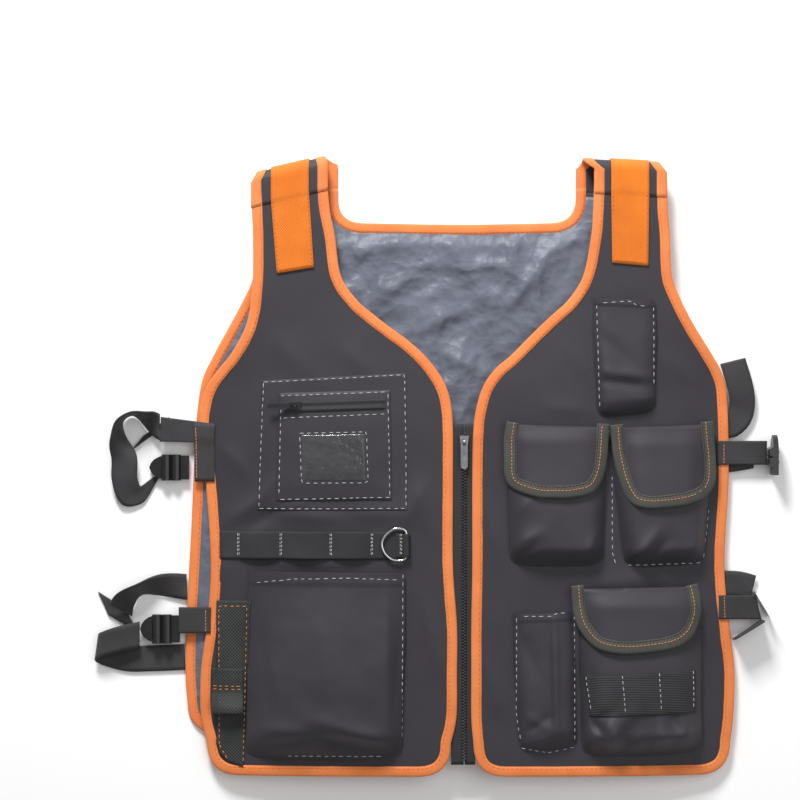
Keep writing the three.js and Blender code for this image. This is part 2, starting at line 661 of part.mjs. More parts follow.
// Sweeps a profile over a shoulder, from the front seam over the fold to the back strap.
// A profile point names an edge, 0 the neck side and 1 the arm side, its distance in from that
// edge, and its depth below the outer face of the cloth
function sweepShoulder(shoulder, profile, start, end) {
  const radius = (SHOULDER_HEIGHT + CLOTH - BACK_BASE) / 2;
  const middle = BACK_BASE + radius;
  const turns = 8;
  const stations = [{ back: start, angle: 0, blend: 0 }];
  for (let i = 0; i <= turns; i++) {
    stations.push({ back: radius, angle: (i / turns) * Math.PI, blend: i / turns });
  }
  stations.push({ back: end, angle: Math.PI, blend: 1 });
  const pick = (index, blend) => {
    const [front, fold, back] = [shoulder.front[index], shoulder.fold[index], shoulder.back[index]];
    const lift = Math.sin(blend * Math.PI);
    return THREE.MathUtils.lerp(front, back, blend) * (1 - lift) + fold * lift;
  };
  const sections = stations.map((station) => profile.map((point) => {
    const edge = pick(point.edge, station.blend) * FRONT_WIDTH;
    const away = edge + (point.edge === 0 ? point.in : -point.in);
    const depth = radius - point.depth;
    const crown = foldHeight(shoulder, away / FRONT_WIDTH) - station.back;
    return new THREE.Vector3(
      shoulder.side * away,
      crown + Math.sin(station.angle) * depth,
      middle + Math.cos(station.angle) * depth,
    );
  }));
  const flat = profile.map((point) => new THREE.Vector2(
    point.edge === 0 ? point.in : 100 - point.in,
    point.depth,
  ));
  const caps = THREE.ShapeUtils.triangulateShape(flat, []);
  const anticlockwise = THREE.ShapeUtils.area(flat) > 0;
  return loft(sections, caps.map(([a, b, c]) => (anticlockwise ? [a, b, c] : [a, c, b])));
}

function clothProfile() {
  const lip = BINDING_LEG;
  return [
    { edge: 0, in: lip, depth: 0 },
    { edge: 1, in: lip, depth: 0 },
    { edge: 1, in: lip, depth: CLOTH },
    { edge: 0, in: lip, depth: CLOTH },
  ];
}

// Folded tape round one edge of a strap
function bindingProfile(edge) {
  return [
    { edge, in: 0, depth: -BINDING_LEG },
    { edge, in: BINDING_WIDTH, depth: -BINDING_LEG },
    { edge, in: BINDING_WIDTH, depth: -GAP },
    { edge, in: BINDING_WALL, depth: -GAP },
    { edge, in: BINDING_WALL, depth: CLOTH + GAP },
    { edge, in: BINDING_WIDTH, depth: CLOTH + GAP },
    { edge, in: BINDING_WIDTH, depth: CLOTH + BINDING_LEG },
    { edge, in: 0, depth: CLOTH + BINDING_LEG },
  ];
}

// Cloth and folded tape of one sheet; the limit cuts both where the sheet is sewn on
function boundSheet(outline, base, limit, width = BINDING_WIDTH, step = CELL) {
  const cloth = drape(inset(outline, BINDING_LEG), 0, CLOTH, base, step).intersect(limit);
  const seat = drape(inset(outline, BINDING_WALL), -GAP, CLOTH + GAP, base, step);
  const tape = drape(outline, -BINDING_LEG, CLOTH + BINDING_LEG, base, step)
    .subtract(prism(inset(outline, width)))
    .subtract(seat)
    .intersect(limit);
  return { cloth, tape };
}

function makeFront(name, shoulder, rows) {
  const limit = prism(frontOutline(shoulder, rows, 0));
  const sheet = boundSheet(frontOutline(shoulder, rows, SEAM_RUN), frontHeight, limit);
  add(`front_panel_${name}`, geometryOf(sheet.cloth), 'cloth');
  add(`front_binding_${name}`, geometryOf(sheet.tape), 'binding');
}

function makeBack() {
  const sheet = boundSheet(backOutline(SEAM_RUN), backHeight, prism(backOutline(0)));
  const neckLow = BACK_NECKLINE_UP * FRONT_LENGTH - 2 * NECKLINE_RADIUS;
  const [strapRight, strapLeft] = ['right', 'left'].map((name) => {
    const edges = SHOULDERS[name].back;
    return SHOULDERS[name].side * ((edges[0] + edges[1]) / 2) * FRONT_WIDTH;
  });
  const neck = prism(rectangle(strapRight, neckLow, strapLeft - strapRight, FRONT_LENGTH));
  let cloth = sheet.cloth;
  let neckTape = sheet.tape.intersect(neck);
  let sideTape = sheet.tape.subtract(neck);
  for (const shoulder of Object.values(SHOULDERS)) {
    const fold = (profile) => solidOf(sweepShoulder(shoulder, profile, SEAM_DROP, SHOULDER_OVERLAP));
    cloth = cloth.add(fold(clothProfile()));
    neckTape = neckTape.add(fold(bindingProfile(0)));
    sideTape = sideTape.add(fold(bindingProfile(1)));
  }
  add('back_panel', geometryOf(cloth), 'cloth');
  add('back_binding', geometryOf(sideTape), 'binding');
  add('neck_binding', geometryOf(neckTape), 'binding');
}

function liningHeight(x, y) {
  let height = 0;
  for (const crease of LINING_CREASES) {
    const angle = THREE.MathUtils.degToRad(crease.heading);
    const dx = x / FRONT_WIDTH - crease.across;
    const dy = (y / FRONT_LENGTH - crease.up) * (FRONT_LENGTH / FRONT_WIDTH);
    const along = dx * Math.cos(angle) + dy * Math.sin(angle);
    const off = dy * Math.cos(angle) - dx * Math.sin(angle);
    height += crease.high * bump(along / crease.long) * bump(off / crease.wide);
  }
  return height;
}

function makeLining() {
  const low = (x, y) => CLOTH + GAP + liningHeight(x, y);
  const outline = inset(backOutline(0), BINDING_WIDTH + GAP);
  const lining = drape(outline, low, (x, y) => low(x, y) + LINING, backHeight, LINING_CELL);
  add('back_lining', geometryOf(lining), 'lining');
}

// Orange load webbing sewn along each shoulder strap
function makeShoulderWebbing(name, shoulder) {
  const width = SHOULDER_WEBBING_WIDTH / FRONT_WIDTH;
  const edges = [shoulder.webbing - width / 2, shoulder.webbing + width / 2];
  const strap = { ...shoulder, front: edges, fold: edges, back: edges };
  const profile = [
    { edge: 0, in: 0, depth: -GAP - WEBBING_WALL },
    { edge: 1, in: 0, depth: -GAP - WEBBING_WALL },
    { edge: 1, in: 0, depth: -GAP },
    { edge: 0, in: 0, depth: -GAP },
  ];
  const middle = (shoulder.fold[0] + shoulder.fold[1]) / 2;
  const slope = shoulder.slant * (shoulder.webbing - middle) * FRONT_WIDTH;
  const top = shoulder.top * FRONT_LENGTH + slope;
  const fold = solidOf(sweepShoulder(strap, profile, SEAM_DROP, SHOULDER_WEBBING_BACK));
  const left = shoulder.side * shoulder.webbing * FRONT_WIDTH - SHOULDER_WEBBING_WIDTH / 2;
  const low = top - SHOULDER_WEBBING_DROP;
  const front = drape(
    rectangle(left, low, SHOULDER_WEBBING_WIDTH, SHOULDER_WEBBING_DROP - SEAM_DROP + 8),
    ON_CLOTH,
    ON_CLOTH + WEBBING_WALL,
  );
  add(`shoulder_webbing_${name}`, geometryOf(fold.add(front)), 'orangeWebbing');
}

function patch(name, points, low, thickness, finish, step = CELL) {
  add(name, geometryOf(drape(points, low, low + thickness, frontHeight, step)), finish);
}

// Identity patch, zipped pocket and window on the wearer's right
function makeIdentityPocket() {
  const patchPoints = rectangle(ID_LEFT, ID_LOW, ID_PATCH_WIDTH, ID_PATCH_HEIGHT);
  patch('id_patch', patchPoints, ID_LAYER, LINING, 'cloth');
  const pocket = rectangle(ID_POCKET_LEFT, ID_POCKET_LOW, ID_POCKET_WIDTH, ID_POCKET_HEIGHT);
  patch('id_pocket', pocket, ID_POCKET_LAYER, LINING, 'cloth');
  const windowLeft = ID_POCKET_LEFT + (ID_POCKET_WIDTH - ID_WINDOW_WIDTH) / 2;
  const windowPoints = rectangle(windowLeft, ID_WINDOW_LOW, ID_WINDOW_WIDTH, ID_WINDOW_HEIGHT);
  patch('id_window', windowPoints, ID_TOP_LAYER, FILM, 'film');
  const tape = rectangle(POCKET_ZIP_LEFT, POCKET_ZIP_LOW, POCKET_ZIP_LENGTH, POCKET_ZIP_WIDTH);
  patch('pocket_zip_tape', tape, ID_TOP_LAYER, ZIP_TAPE_WALL, 'cloth');
  const teethLow = POCKET_ZIP_LOW + (POCKET_ZIP_WIDTH - POCKET_TEETH_WIDTH) / 2;
  const teethLeft = POCKET_ZIP_LEFT + POCKET_TEETH_SHORT;
  const teethLong = POCKET_ZIP_LENGTH - 2 * POCKET_TEETH_SHORT;
  const teeth = rectangle(teethLeft, teethLow, teethLong, POCKET_TEETH_WIDTH);
  patch('pocket_zip_teeth', teeth, ID_TOP_LAYER + ZIP_TAPE_WALL + GAP, POCKET_TEETH_WALL, 'plastic');
}

// Zip slider with an open ring on top, and a pull whose end bar turns in that ring.
// Both point along -Y from the hinge and stand on z = 0
function sliderGeometry() {
  const body = new THREE.Shape();
  const [halfWide, halfLong] = [SLIDER_WIDTH / 2, SLIDER_LENGTH / 2];
  body.moveTo(-halfWide, halfLong);
  body.lineTo(-halfWide * 0.75, -halfLong);
  body.lineTo(halfWide * 0.75, -halfLong);
  body.lineTo(halfWide, halfLong);
  body.closePath();
  const block = new THREE.ExtrudeGeometry(body, { depth: SLIDER_HEIGHT, bevelEnabled: false });
  const ring = new THREE.Shape();
  const dip = -Math.asin((PULL_AXIS_UP - SLIDER_HEIGHT / 2) / LUG_OUTER);
  ring.absarc(0, 0, LUG_OUTER, dip, Math.PI - dip, false);
  ring.absarc(0, 0, LUG_INNER, Math.PI - dip, dip, true);
  ring.closePath();
  const lug = new THREE.ExtrudeGeometry(ring, { depth: LUG_WIDTH, bevelEnabled: false, curveSegments: 8 });
  lug.translate(0, 0, -LUG_WIDTH / 2);
  lug.rotateX(Math.PI / 2);
  lug.rotateZ(Math.PI / 2);
  lug.translate(0, 0, PULL_AXIS_UP);
  return geometryOf(solidOf(block).add(solidOf(lug)));
}

function pullGeometry(length, width) {
  const plate = new THREE.Shape();
  const half = width / 2;
  const tip = -length + half;
  plate.moveTo(half * 0.8, 0.5);
  plate.lineTo(-half * 0.8, 0.5);
  plate.lineTo(-half, -PULL_NECK);
  plate.lineTo(-half, tip);
  plate.absarc(0, tip, half, Math.PI, 2 * Math.PI, false);
  plate.lineTo(half, -PULL_NECK);
  plate.closePath();
  const slot = new THREE.Path();
  const slotHalf = LUG_WIDTH / 2 + 0.5;
  slot.moveTo(-slotHalf, -PULL_SLOT_START);
  slot.lineTo(slotHalf, -PULL_SLOT_START);
  slot.lineTo(slotHalf, -PULL_SLOT_END);
  slot.lineTo(-slotHalf, -PULL_SLOT_END);
  slot.closePath();
  plate.holes.push(slot);
  const geometry = new THREE.ExtrudeGeometry(plate, {
    depth: PULL_WALL,
    bevelEnabled: false,
    curveSegments: 4,
  });
  geometry.translate(0, 0, -PULL_WALL / 2);
  return geometry;
}

function zipPlace(x, y, z, turn) {
  return new THREE.Matrix4().makeTranslation(x, y, z).multiply(new THREE.Matrix4().makeRotationZ(turn));
}

function makeZips() {
  const pocketY = POCKET_ZIP_LOW + POCKET_ZIP_WIDTH / 2;
  const pocketX = POCKET_ZIP_LEFT + POCKET_SLIDER_IN;
  const ends = [pocketX - SLIDER_LENGTH / 2, pocketX + SLIDER_LENGTH / 2];
  const pocketBed = Math.max(...ends.map((x) => frontHeight(x, pocketY)));
  const pocketZ = pocketBed + ID_TOP_LAYER + ZIP_TAPE_WALL + POCKET_TEETH_WALL + 2 * GAP;
  const pocketPlace = zipPlace(pocketX, pocketY, pocketZ, -Math.PI / 2);
  add('pocket_zip_slider', sliderGeometry().applyMatrix4(pocketPlace), 'metal');
  const pocketHinge = zipPlace(pocketX, pocketY, pocketZ + PULL_AXIS_UP, -Math.PI / 2);
  add('pocket_zip_pull', pullGeometry(PULL_LENGTH, POCKET_PULL_WIDTH).applyMatrix4(pocketHinge), 'plastic');

  const half = ZIP_TEETH_WIDTH / 2;
  const tapes = {
    right: ZIP_CENTRE - half - GAP - ZIP_TAPE_WIDTH,
    left: ZIP_CENTRE + half + GAP,
  };
  for (const [name, start] of Object.entries(tapes)) {
    const points = rectangle(start, ZIP_START, ZIP_TAPE_WIDTH, ZIP_LENGTH);
    patch(`zip_tape_${name}`, points, ZIP_UNDER, ZIP_TAPE_WALL, 'cloth');
  }
  const teethStart = ZIP_START + ZIP_TEETH_SHORT;
  const teethLong = ZIP_LENGTH - 3 * ZIP_TEETH_SHORT;
  const teeth = rectangle(ZIP_CENTRE - half, teethStart, ZIP_TEETH_WIDTH, teethLong);
  patch('zip_teeth', teeth, ZIP_UNDER - GAP, ZIP_TEETH_WALL, 'metal');
  const bed = frontHeight(ZIP_CENTRE, ZIP_SLIDER_UP) + ZIP_UNDER + ZIP_TEETH_WALL + GAP;
  add('zip_slider', sliderGeometry().applyMatrix4(zipPlace(ZIP_CENTRE, ZIP_SLIDER_UP, bed, 0)), 'metal');
  const hinge = zipPlace(ZIP_CENTRE, ZIP_SLIDER_UP, bed + PULL_AXIS_UP, 0);
  add('zip_pull', pullGeometry(PULL_LENGTH, PULL_WIDTH).applyMatrix4(hinge), 'metal');
}

// Band of tool loops: it is sewn down at the ends of each loop and stands up between them
const TOOL_LOOPS = [
  { from: 0.11, to: 0.355 },
  { from: 0.355, to: 0.645 },
  { from: 0.645, to: 0.88 },
];

function toolLoopRise(x) {
  const share = (x - TOOL_LEFT) / TOOL_BAND_LENGTH;
  for (const loop of TOOL_LOOPS) {
    if (share > loop.from && share < loop.to) {
      const along = (share - loop.from) / (loop.to - loop.from);
      return TOOL_LOOP_RISE * Math.sin(along * Math.PI) ** 0.7;
    }
  }
  return 0;
}

function makeToolLoops() {
  const points = rectangle(TOOL_LEFT, TOOL_LOW, TOOL_BAND_LENGTH, TOOL_BAND_HEIGHT);
  const low = (x) => ON_CLOTH + toolLoopRise(x);
  const band = drape(points, low, (x) => low(x) + WEBBING_WALL, frontHeight, LOOP_STEP);
  add('tool_loop_band', geometryOf(band), 'webbing');
}

// Ring hung from the folded end of the band
function makeRing() {
  const middleY = TOOL_LOW + TOOL_BAND_HEIGHT / 2;
  const barX = TOOL_LEFT + TOOL_BAND_LENGTH + GAP + RING_TAB_LENGTH;
  const bed = frontHeight(barX, middleY) + ON_CLOTH;
  const eye = RING_WIRE / 2 * Math.SQRT2 + GAP;
  const outerEye = eye + WEBBING_WALL;
  const barZ = bed + outerEye;
  const outline = (shape, smaller) => {
    const right = RING_WIRE / 2 - smaller;
    const reach = RING_REACH - RING_WIRE / 2 - smaller;
    const tall = RING_HEIGHT / 2 - smaller;
    shape.moveTo(right, tall);
    shape.lineTo(right - 4, tall);
    shape.bezierCurveTo(-reach * 0.95, tall, -reach * 1.02, tall * 0.55, -reach, 0);
    shape.bezierCurveTo(-reach * 1.02, -tall * 0.55, -reach * 0.95, -tall, right - 4, -tall);
    shape.lineTo(right, -tall);
    shape.closePath();
    return shape;
  };
  const shape = outline(new THREE.Shape(), 0);
  shape.holes.push(outline(new THREE.Path(), RING_WIRE));
  const ring = new THREE.ExtrudeGeometry(shape, {
    depth: RING_WIRE,
    bevelEnabled: false,
    curveSegments: 6,
  });
  ring.translate(barX, middleY, barZ - RING_WIRE / 2);
  add('d_ring', ring, 'metal');

  const loop = new THREE.Shape();
  loop.moveTo(-RING_TAB_LENGTH, -outerEye);
  loop.absarc(0, 0, outerEye, -Math.PI / 2, Math.PI / 2, false);
  loop.lineTo(-RING_TAB_TURN, outerEye);
  loop.lineTo(-RING_TAB_TURN, eye);
  loop.absarc(0, 0, eye, Math.PI / 2, -Math.PI / 2, true);
  loop.lineTo(-RING_TAB_LENGTH, -eye);
  loop.closePath();
  const tab = new THREE.ExtrudeGeometry(loop, {
    depth: RING_TAB_WIDTH,
    bevelEnabled: false,
    curveSegments: 6,
  });
  tab.translate(0, 0, -RING_TAB_WIDTH / 2);
  tab.rotateX(Math.PI / 2);
  tab.translate(barX, middleY, barZ);
  add('d_ring_tab', tab, 'webbing');
}

// Patch and hammer loop beside the cargo pocket
function makeSidePatch() {
  const front = frontOutline(SHOULDERS.right, RIGHT_FRONT_ROWS, SEAM_RUN);
  const core = prism(inset(front, BINDING_WIDTH + GAP));
  const points = rectangle(SIDE_PATCH_LEFT, SIDE_PATCH_LOW, SIDE_PATCH_WIDTH, SIDE_PATCH_HEIGHT);
  const cloth = drape(points, ON_CLOTH, ON_CLOTH + CLOTH).intersect(core);
  add('side_patch', geometryOf(cloth), 'webbing');
  const seat = ON_CLOTH + CLOTH + GAP;
  const lift = (x, y) => {
    const along = (y - HAMMER_LOOP_LOW) / HAMMER_LOOP_HEIGHT;
    return seat + HAMMER_LOOP_RISE * Math.max(0, Math.sin(along * Math.PI)) ** 0.7;
  };
  const loop = drape(
    rectangle(HAMMER_LOOP_LEFT, HAMMER_LOOP_LOW, HAMMER_LOOP_WIDTH, HAMMER_LOOP_HEIGHT),
    lift,
    (x, y) => lift(x, y) + WEBBING_WALL,
    frontHeight,
    LOOP_STEP,
  );
  add('hammer_loop', geometryOf(loop), 'webbing');
}

// Distance from a point to a stretch, all in shares
function distanceTo(s, t, crease) {
  const dx = crease.toX - crease.fromX;
  const dy = crease.toY - crease.fromY;
  const along = ((s - crease.fromX) * dx + (t - crease.fromY) * dy) / (dx * dx + dy * dy);
  const held = THREE.MathUtils.clamp(along, 0, 1);
  return Math.hypot(s - crease.fromX - dx * held, t - crease.fromY - dy * held);
}

// How far the inside of a pocket stands off the front, before its wall
function pocketRise(name, x, y) {
  const pocket = POCKETS[name];
  const s = (x - pocket.x) / pocket.width;
  const t = (y - pocket.y) / pocket.height;
  if (s <= 0 || s >= 1 || t <= 0) {
    return 0;
  }
  const sides = Math.sqrt(1 - Math.abs(2 * s - 1) ** 3);
  const bag = smooth(0, 0.2, t) * THREE.MathUtils.lerp(pocket.depth, pocket.mouth, smooth(0.3, 1, t));
  let rise = sides * bag;
  for (const crease of POCKET_CREASES[name]) {
    rise -= sides * pocket.depth * crease.deep * bump(distanceTo(s, t, crease) / crease.wide);
  }
  const flap = FLAPS[name];
  if (flap && t > 1) {
    rise *= 1 - smooth(0.1, 0.9, ((t - 1) * pocket.height) / flap.above);
  }
  return Math.max(rise, 0);
}

function makePocket(name) {
  const pocket = POCKETS[name];
  const rise = (x, y) => pocketRise(name, x, y);
  const outside = drape(
    rectangle(pocket.x, pocket.y, pocket.width, pocket.height),
    ON_CLOTH,
    (x, y) => ON_CLOTH + rise(x, y) + CLOTH,
    frontHeight,
    FINE,
  );
  const rim = pocket.rim;
  const inside = drape(
    rectangle(pocket.x + rim, pocket.y + rim, pocket.width - 2 * rim, pocket.height),
    0,
    (x, y) => ON_CLOTH + rise(x, y),
    frontHeight,
    FINE,
  );
  add(`${name}_pocket`, geometryOf(outside.subtract(inside)), 'cloth');
}

// Outline of a flap: square at its seam, rounded at its two free corners
function flapOutline(name, past) {
  const pocket = POCKETS[name];
  const flap = FLAPS[name];
  const left = pocket.x - flap.past;
  const right = pocket.x + pocket.width + flap.past;
  const top = pocket.y + pocket.height + flap.above + past;
  const low = pocket.y + pocket.height - flap.drop;
  const r = flap.radius;
  const at = (x, y) => new THREE.Vector2(x, y);
  return [
    at(left, top),
    ...corner(at(left, low + r), at(left, low), at(left + r, low)),
    ...corner(at(right - r, low), at(right, low), at(right, low + r)),
    at(right, top),
  ];
}

function makeFlap(name) {
  const lift = ON_CLOTH + CLOTH + BINDING_LEG + GAP;
  const base = (x, y) => frontHeight(x, y) + lift + pocketRise(name, x, y);
  const limit = prism(flapOutline(name, 0));
  const sheet = boundSheet(flapOutline(name, SEAM_RUN), base, limit, FLAP_BINDING_WIDTH, FINE);
  add(`${name}_flap`, geometryOf(sheet.cloth), 'cloth');
  add(`${name}_flap_binding`, geometryOf(sheet.tape), 'flapBinding');
}

// Elastic loops across the lower pocket
function makeElastic() {
  const pocket = POCKETS.lower;
  const low = (x, y) => ON_CLOTH + CLOTH + GAP + pocketRise('lower', x, y);
  const band = drape(
    rectangle(
      pocket.x + ELASTIC_IN,
      pocket.y + ELASTIC_UP,
      pocket.width - 2 * ELASTIC_IN,
      ELASTIC_HEIGHT,
    ),
    low,
    (x, y) => low(x, y) + WEBBING_WALL,
    frontHeight,
    FINE,
  );
  add('elastic_loops', geometryOf(band), 'webbing');
}

// Webbing run along a table of rows
function ribbon(anchor, side, rows, width = WEBBING_WIDTH) {
  const path = new THREE.CatmullRomCurve3(rows.map((row) => new THREE.Vector3(
    anchor.x + side * row.out * WEBBING_WIDTH,
    anchor.y + row.up * WEBBING_WIDTH,
    WEBBING_WALL / 2 + row.rise * WEBBING_WIDTH,
  )));
  const steps = (rows.length - 1) * 3;
  const sections = [];
  for (let i = 0; i <= steps; i++) {
    const share = i / steps;
    const place = share * (rows.length - 1);
    const index = Math.min(Math.floor(place), rows.length - 2);
    const [a, b] = [rows[index], rows[index + 1]];
    const turn = THREE.MathUtils.degToRad(THREE.MathUtils.lerp(a.turn, b.turn, place - index));
    const lean = THREE.MathUtils.degToRad(THREE.MathUtils.lerp(a.lean, b.lean, place - index));
    const across = new THREE.Vector3(
      side * Math.cos(turn) * Math.cos(lean),
      Math.sin(turn) * Math.cos(lean),
      Math.sin(lean),
    );
    const middle = path.getPoint(share);
    const up = new THREE.Vector3().crossVectors(path.getTangent(share), across).normalize();
    const point = (w, h) => middle.clone()
      .addScaledVector(across, (w * width) / 2)
      .addScaledVector(up, (h * WEBBING_WALL) / 2);
    sections.push([point(-1, -1), point(1, -1), point(1, 1), point(-1, 1)]);
  }
  return loft(sections, FLAT_CAP);
}

// Release buckle: a frame, two ribbed barrels and a rounded nose, lying along X
function buckleGeometry(width) {
  const half = width / 2;
  const shoulder = BUCKLE_LENGTH - 2;
  const profile = new THREE.Shape();
  profile.moveTo(0, -half);
  profile.lineTo(BUCKLE_FRAME, -half);
  profile.quadraticCurveTo(shoulder, -half * 0.8, BUCKLE_LENGTH, 0);
  profile.quadraticCurveTo(shoulder, half * 0.8, BUCKLE_FRAME, half);
  profile.lineTo(0, half);
  profile.closePath();
  const plate = new THREE.ExtrudeGeometry(profile, {
    depth: BUCKLE_WALL,
    bevelEnabled: false,
    curveSegments: 4,
  });
  let body = solidOf(plate);
  for (const along of BARREL_AT) {
    const barrel = new THREE.CylinderGeometry(BARREL_RADIUS, BARREL_RADIUS, width + 2, 10);
    barrel.translate(along, 0, BARREL_UP);
    body = body.add(solidOf(barrel));
  }
  return geometryOf(body);
}

// Piece at a place given in webbing widths from a strap's anchor
function settle(name, anchor, side, geometry, place, finish) {
  geometry.translate(
    anchor.x + side * place.out * WEBBING_WIDTH,
    anchor.y + place.up * WEBBING_WIDTH,
    place.rise,
  );
  add(name, geometry, finish);
}

function makeStub(name, anchor, side, rows) {
  const points = rows.map((row) => new THREE.Vector2(
    anchor.x + side * row.out * WEBBING_WIDTH,
    anchor.y + row.up * WEBBING_WIDTH,
  ));
  patch(name, points, ON_BINDING, WEBBING_WALL, 'webbing');
}

function makeSideStraps() {
  const edge = (side, up) => new THREE.Vector2(side * FRONT_WIDTH, up);
  const upperRight = edge(-1, STRAP_UPPER_RIGHT_UP);
  makeStub('upper_right_stub', upperRight, -1, UPPER_RIGHT_STUB);
  add('upper_right_strap', ribbon(upperRight, -1, UPPER_RIGHT_LOOP), 'webbing');
  add('upper_right_tail', ribbon(upperRight, -1, UPPER_RIGHT_TAIL, TAIL_WIDTH), 'webbing');
  const upperBuckle = buckleGeometry(BUCKLES.upper_right.width).rotateZ(Math.PI);
  settle('upper_right_buckle', upperRight, -1, upperBuckle, BUCKLES.upper_right, 'plastic');

  const lowerRight = edge(-1, STRAP_LOWER_RIGHT_UP);
  makeStub('lower_right_stub', lowerRight, -1, LOWER_RIGHT_STUB);
  add('lower_right_strap', ribbon(lowerRight, -1, LOWER_RIGHT_LOOP), 'webbing');
  add('lower_right_limb', ribbon(lowerRight, -1, LOWER_RIGHT_LIMB), 'webbing');
  add('lower_right_tail', ribbon(lowerRight, -1, LOWER_RIGHT_TAIL), 'webbing');
  const lowerBuckle = buckleGeometry(BUCKLES.lower_right.width).rotateZ(Math.PI);
  settle('lower_right_buckle', lowerRight, -1, lowerBuckle, BUCKLES.lower_right, 'plastic');

  const upperLeft = edge(1, STRAP_UPPER_LEFT_UP);
  makeStub('upper_left_stub', upperLeft, 1, UPPER_LEFT_STUB);
  add('upper_left_strap', ribbon(upperLeft, 1, UPPER_LEFT_UPPER), 'webbing');
  add('upper_left_limb', ribbon(upperLeft, 1, UPPER_LEFT_LOWER), 'webbing');
  const standing = buckleGeometry(BUCKLES.upper_left.width).rotateZ(Math.PI / 2).rotateY(-Math.PI / 2);
  settle('upper_left_buckle', upperLeft, 1, standing, BUCKLES.upper_left, 'plastic');

  const lowerLeft = edge(1, STRAP_LOWER_LEFT_UP);
  makeStub('lower_left_stub', lowerLeft, 1, LOWER_LEFT_STUB);
  add('lower_left_strap', ribbon(lowerLeft, 1, LOWER_LEFT_FOLD), 'webbing');
  add('lower_left_tail', ribbon(lowerLeft, 1, LOWER_LEFT_TAIL), 'webbing');
  const slide = new THREE.BoxGeometry(SLIDE.wall, SLIDE.width, SLIDE.height);
  slide.rotateZ(THREE.MathUtils.degToRad(SLIDE.turn));
  settle('lower_left_slide', lowerLeft, 1, slide, SLIDE, 'metal');
}

makeFront('right', SHOULDERS.right, RIGHT_FRONT_ROWS);
makeFront('left', SHOULDERS.left, LEFT_FRONT_ROWS);
makeBack();
makeLining();
for (const [name, shoulder] of Object.entries(SHOULDERS)) {
  makeShoulderWebbing(name, shoulder);
}
makeIdentityPocket();
makeZips();
makeToolLoops();
makeRing();
makeSidePatch();
for (const name of Object.keys(POCKETS)) {
  makePocket(name);
}
for (const name of Object.keys(FLAPS)) {
  makeFlap(name);
}
makeElastic();
makeSideStraps();

// The origin is under the middle of the whole vest, on the surface that it lies on
const box = new THREE.Box3().setFromObject(vest);
const middle = box.getCenter(new THREE.Vector3());
vest.position.set(-middle.x, -middle.y, -box.min.z);
vest.updateMatrixWorld(true);

export default vest;
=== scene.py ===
"""A utility work vest laid on its back: cloth, tape, webbing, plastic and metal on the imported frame.

Lengths are in the vest's own millimetres: X from the centre zip to the wearer's left, Y from the
front hem to the shoulders and Z up from the floor. The Plan turns them into the frame's metres.
"""
import logging
import math
import random
from dataclasses import dataclass, field
from enum import Enum
from typing import Callable, Optional, Sequence, Union

import bmesh
import bpy
import numpy as np
from mathutils import Matrix, Vector, noise
from mathutils.bvhtree import BVHTree


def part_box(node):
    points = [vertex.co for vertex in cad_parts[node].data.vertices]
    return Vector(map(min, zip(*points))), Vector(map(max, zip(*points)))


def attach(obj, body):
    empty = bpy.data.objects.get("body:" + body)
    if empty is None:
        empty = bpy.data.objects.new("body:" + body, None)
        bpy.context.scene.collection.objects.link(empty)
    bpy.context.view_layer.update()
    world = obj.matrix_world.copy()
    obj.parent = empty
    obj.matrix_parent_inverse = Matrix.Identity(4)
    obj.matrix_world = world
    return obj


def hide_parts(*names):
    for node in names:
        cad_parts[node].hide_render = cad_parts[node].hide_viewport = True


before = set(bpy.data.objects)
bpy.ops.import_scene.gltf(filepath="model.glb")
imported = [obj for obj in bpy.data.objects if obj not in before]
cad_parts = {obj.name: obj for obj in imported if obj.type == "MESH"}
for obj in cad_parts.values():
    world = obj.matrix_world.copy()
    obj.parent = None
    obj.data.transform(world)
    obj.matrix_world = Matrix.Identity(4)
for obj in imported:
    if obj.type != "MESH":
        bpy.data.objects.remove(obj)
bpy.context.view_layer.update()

Point = tuple[float, float]
Row = tuple[float, ...]
Place = Callable[[float, float], tuple[Vector, Point]]
Height = Callable[[float, float], float]
Lift = Callable[[float, float, float, float], float]

log = logging.getLogger("vest")
MM = 0.001
SKY = 200.0
CLOTH = 1.6
CUT_INSET = 4.5
POCKET_WALL = 1.3
POCKET_HEIGHT = 180
POCKET_LIFT = 0.9
TAPE_WIDTH = 10.5
TAPE_WALL = 0.55
TAPE_SEWN = 8.2
FRONT_WIDTH = 262.0
FRONT_LENGTH = 617.0
SIDE_HEIGHT = 7.5
CHEST_RISE = 18.0
SHOULDER_HEIGHT = 20.0
BACK_BASE = 2.0
WEB_WIDTH = 26.0
TAIL_WIDTH = 20.0
WEB_WALL = 1.5
ZIP_CENTRE = 2.0
ZIP_TEETH_START = 16.0


# Places, curves and heights


@dataclass(frozen=True)
class Plan:
    """The place of the vest's own millimetres in the frame."""

    x: float
    y: float

    @classmethod
    def from_frame(cls) -> "Plan":
        """Reads the place off the solid of the zip's teeth."""
        low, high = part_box("zip_teeth")
        return cls((low.x + high.x) / 2 / MM - ZIP_CENTRE, low.y / MM - ZIP_TEETH_START)

    def metres(self, spot: Vector) -> Vector:
        """Turns a spot in millimetres into the frame's metres."""
        return Vector(((spot.x + self.x) * MM, (spot.y + self.y) * MM, spot.z * MM))


PLAN = Plan.from_frame()


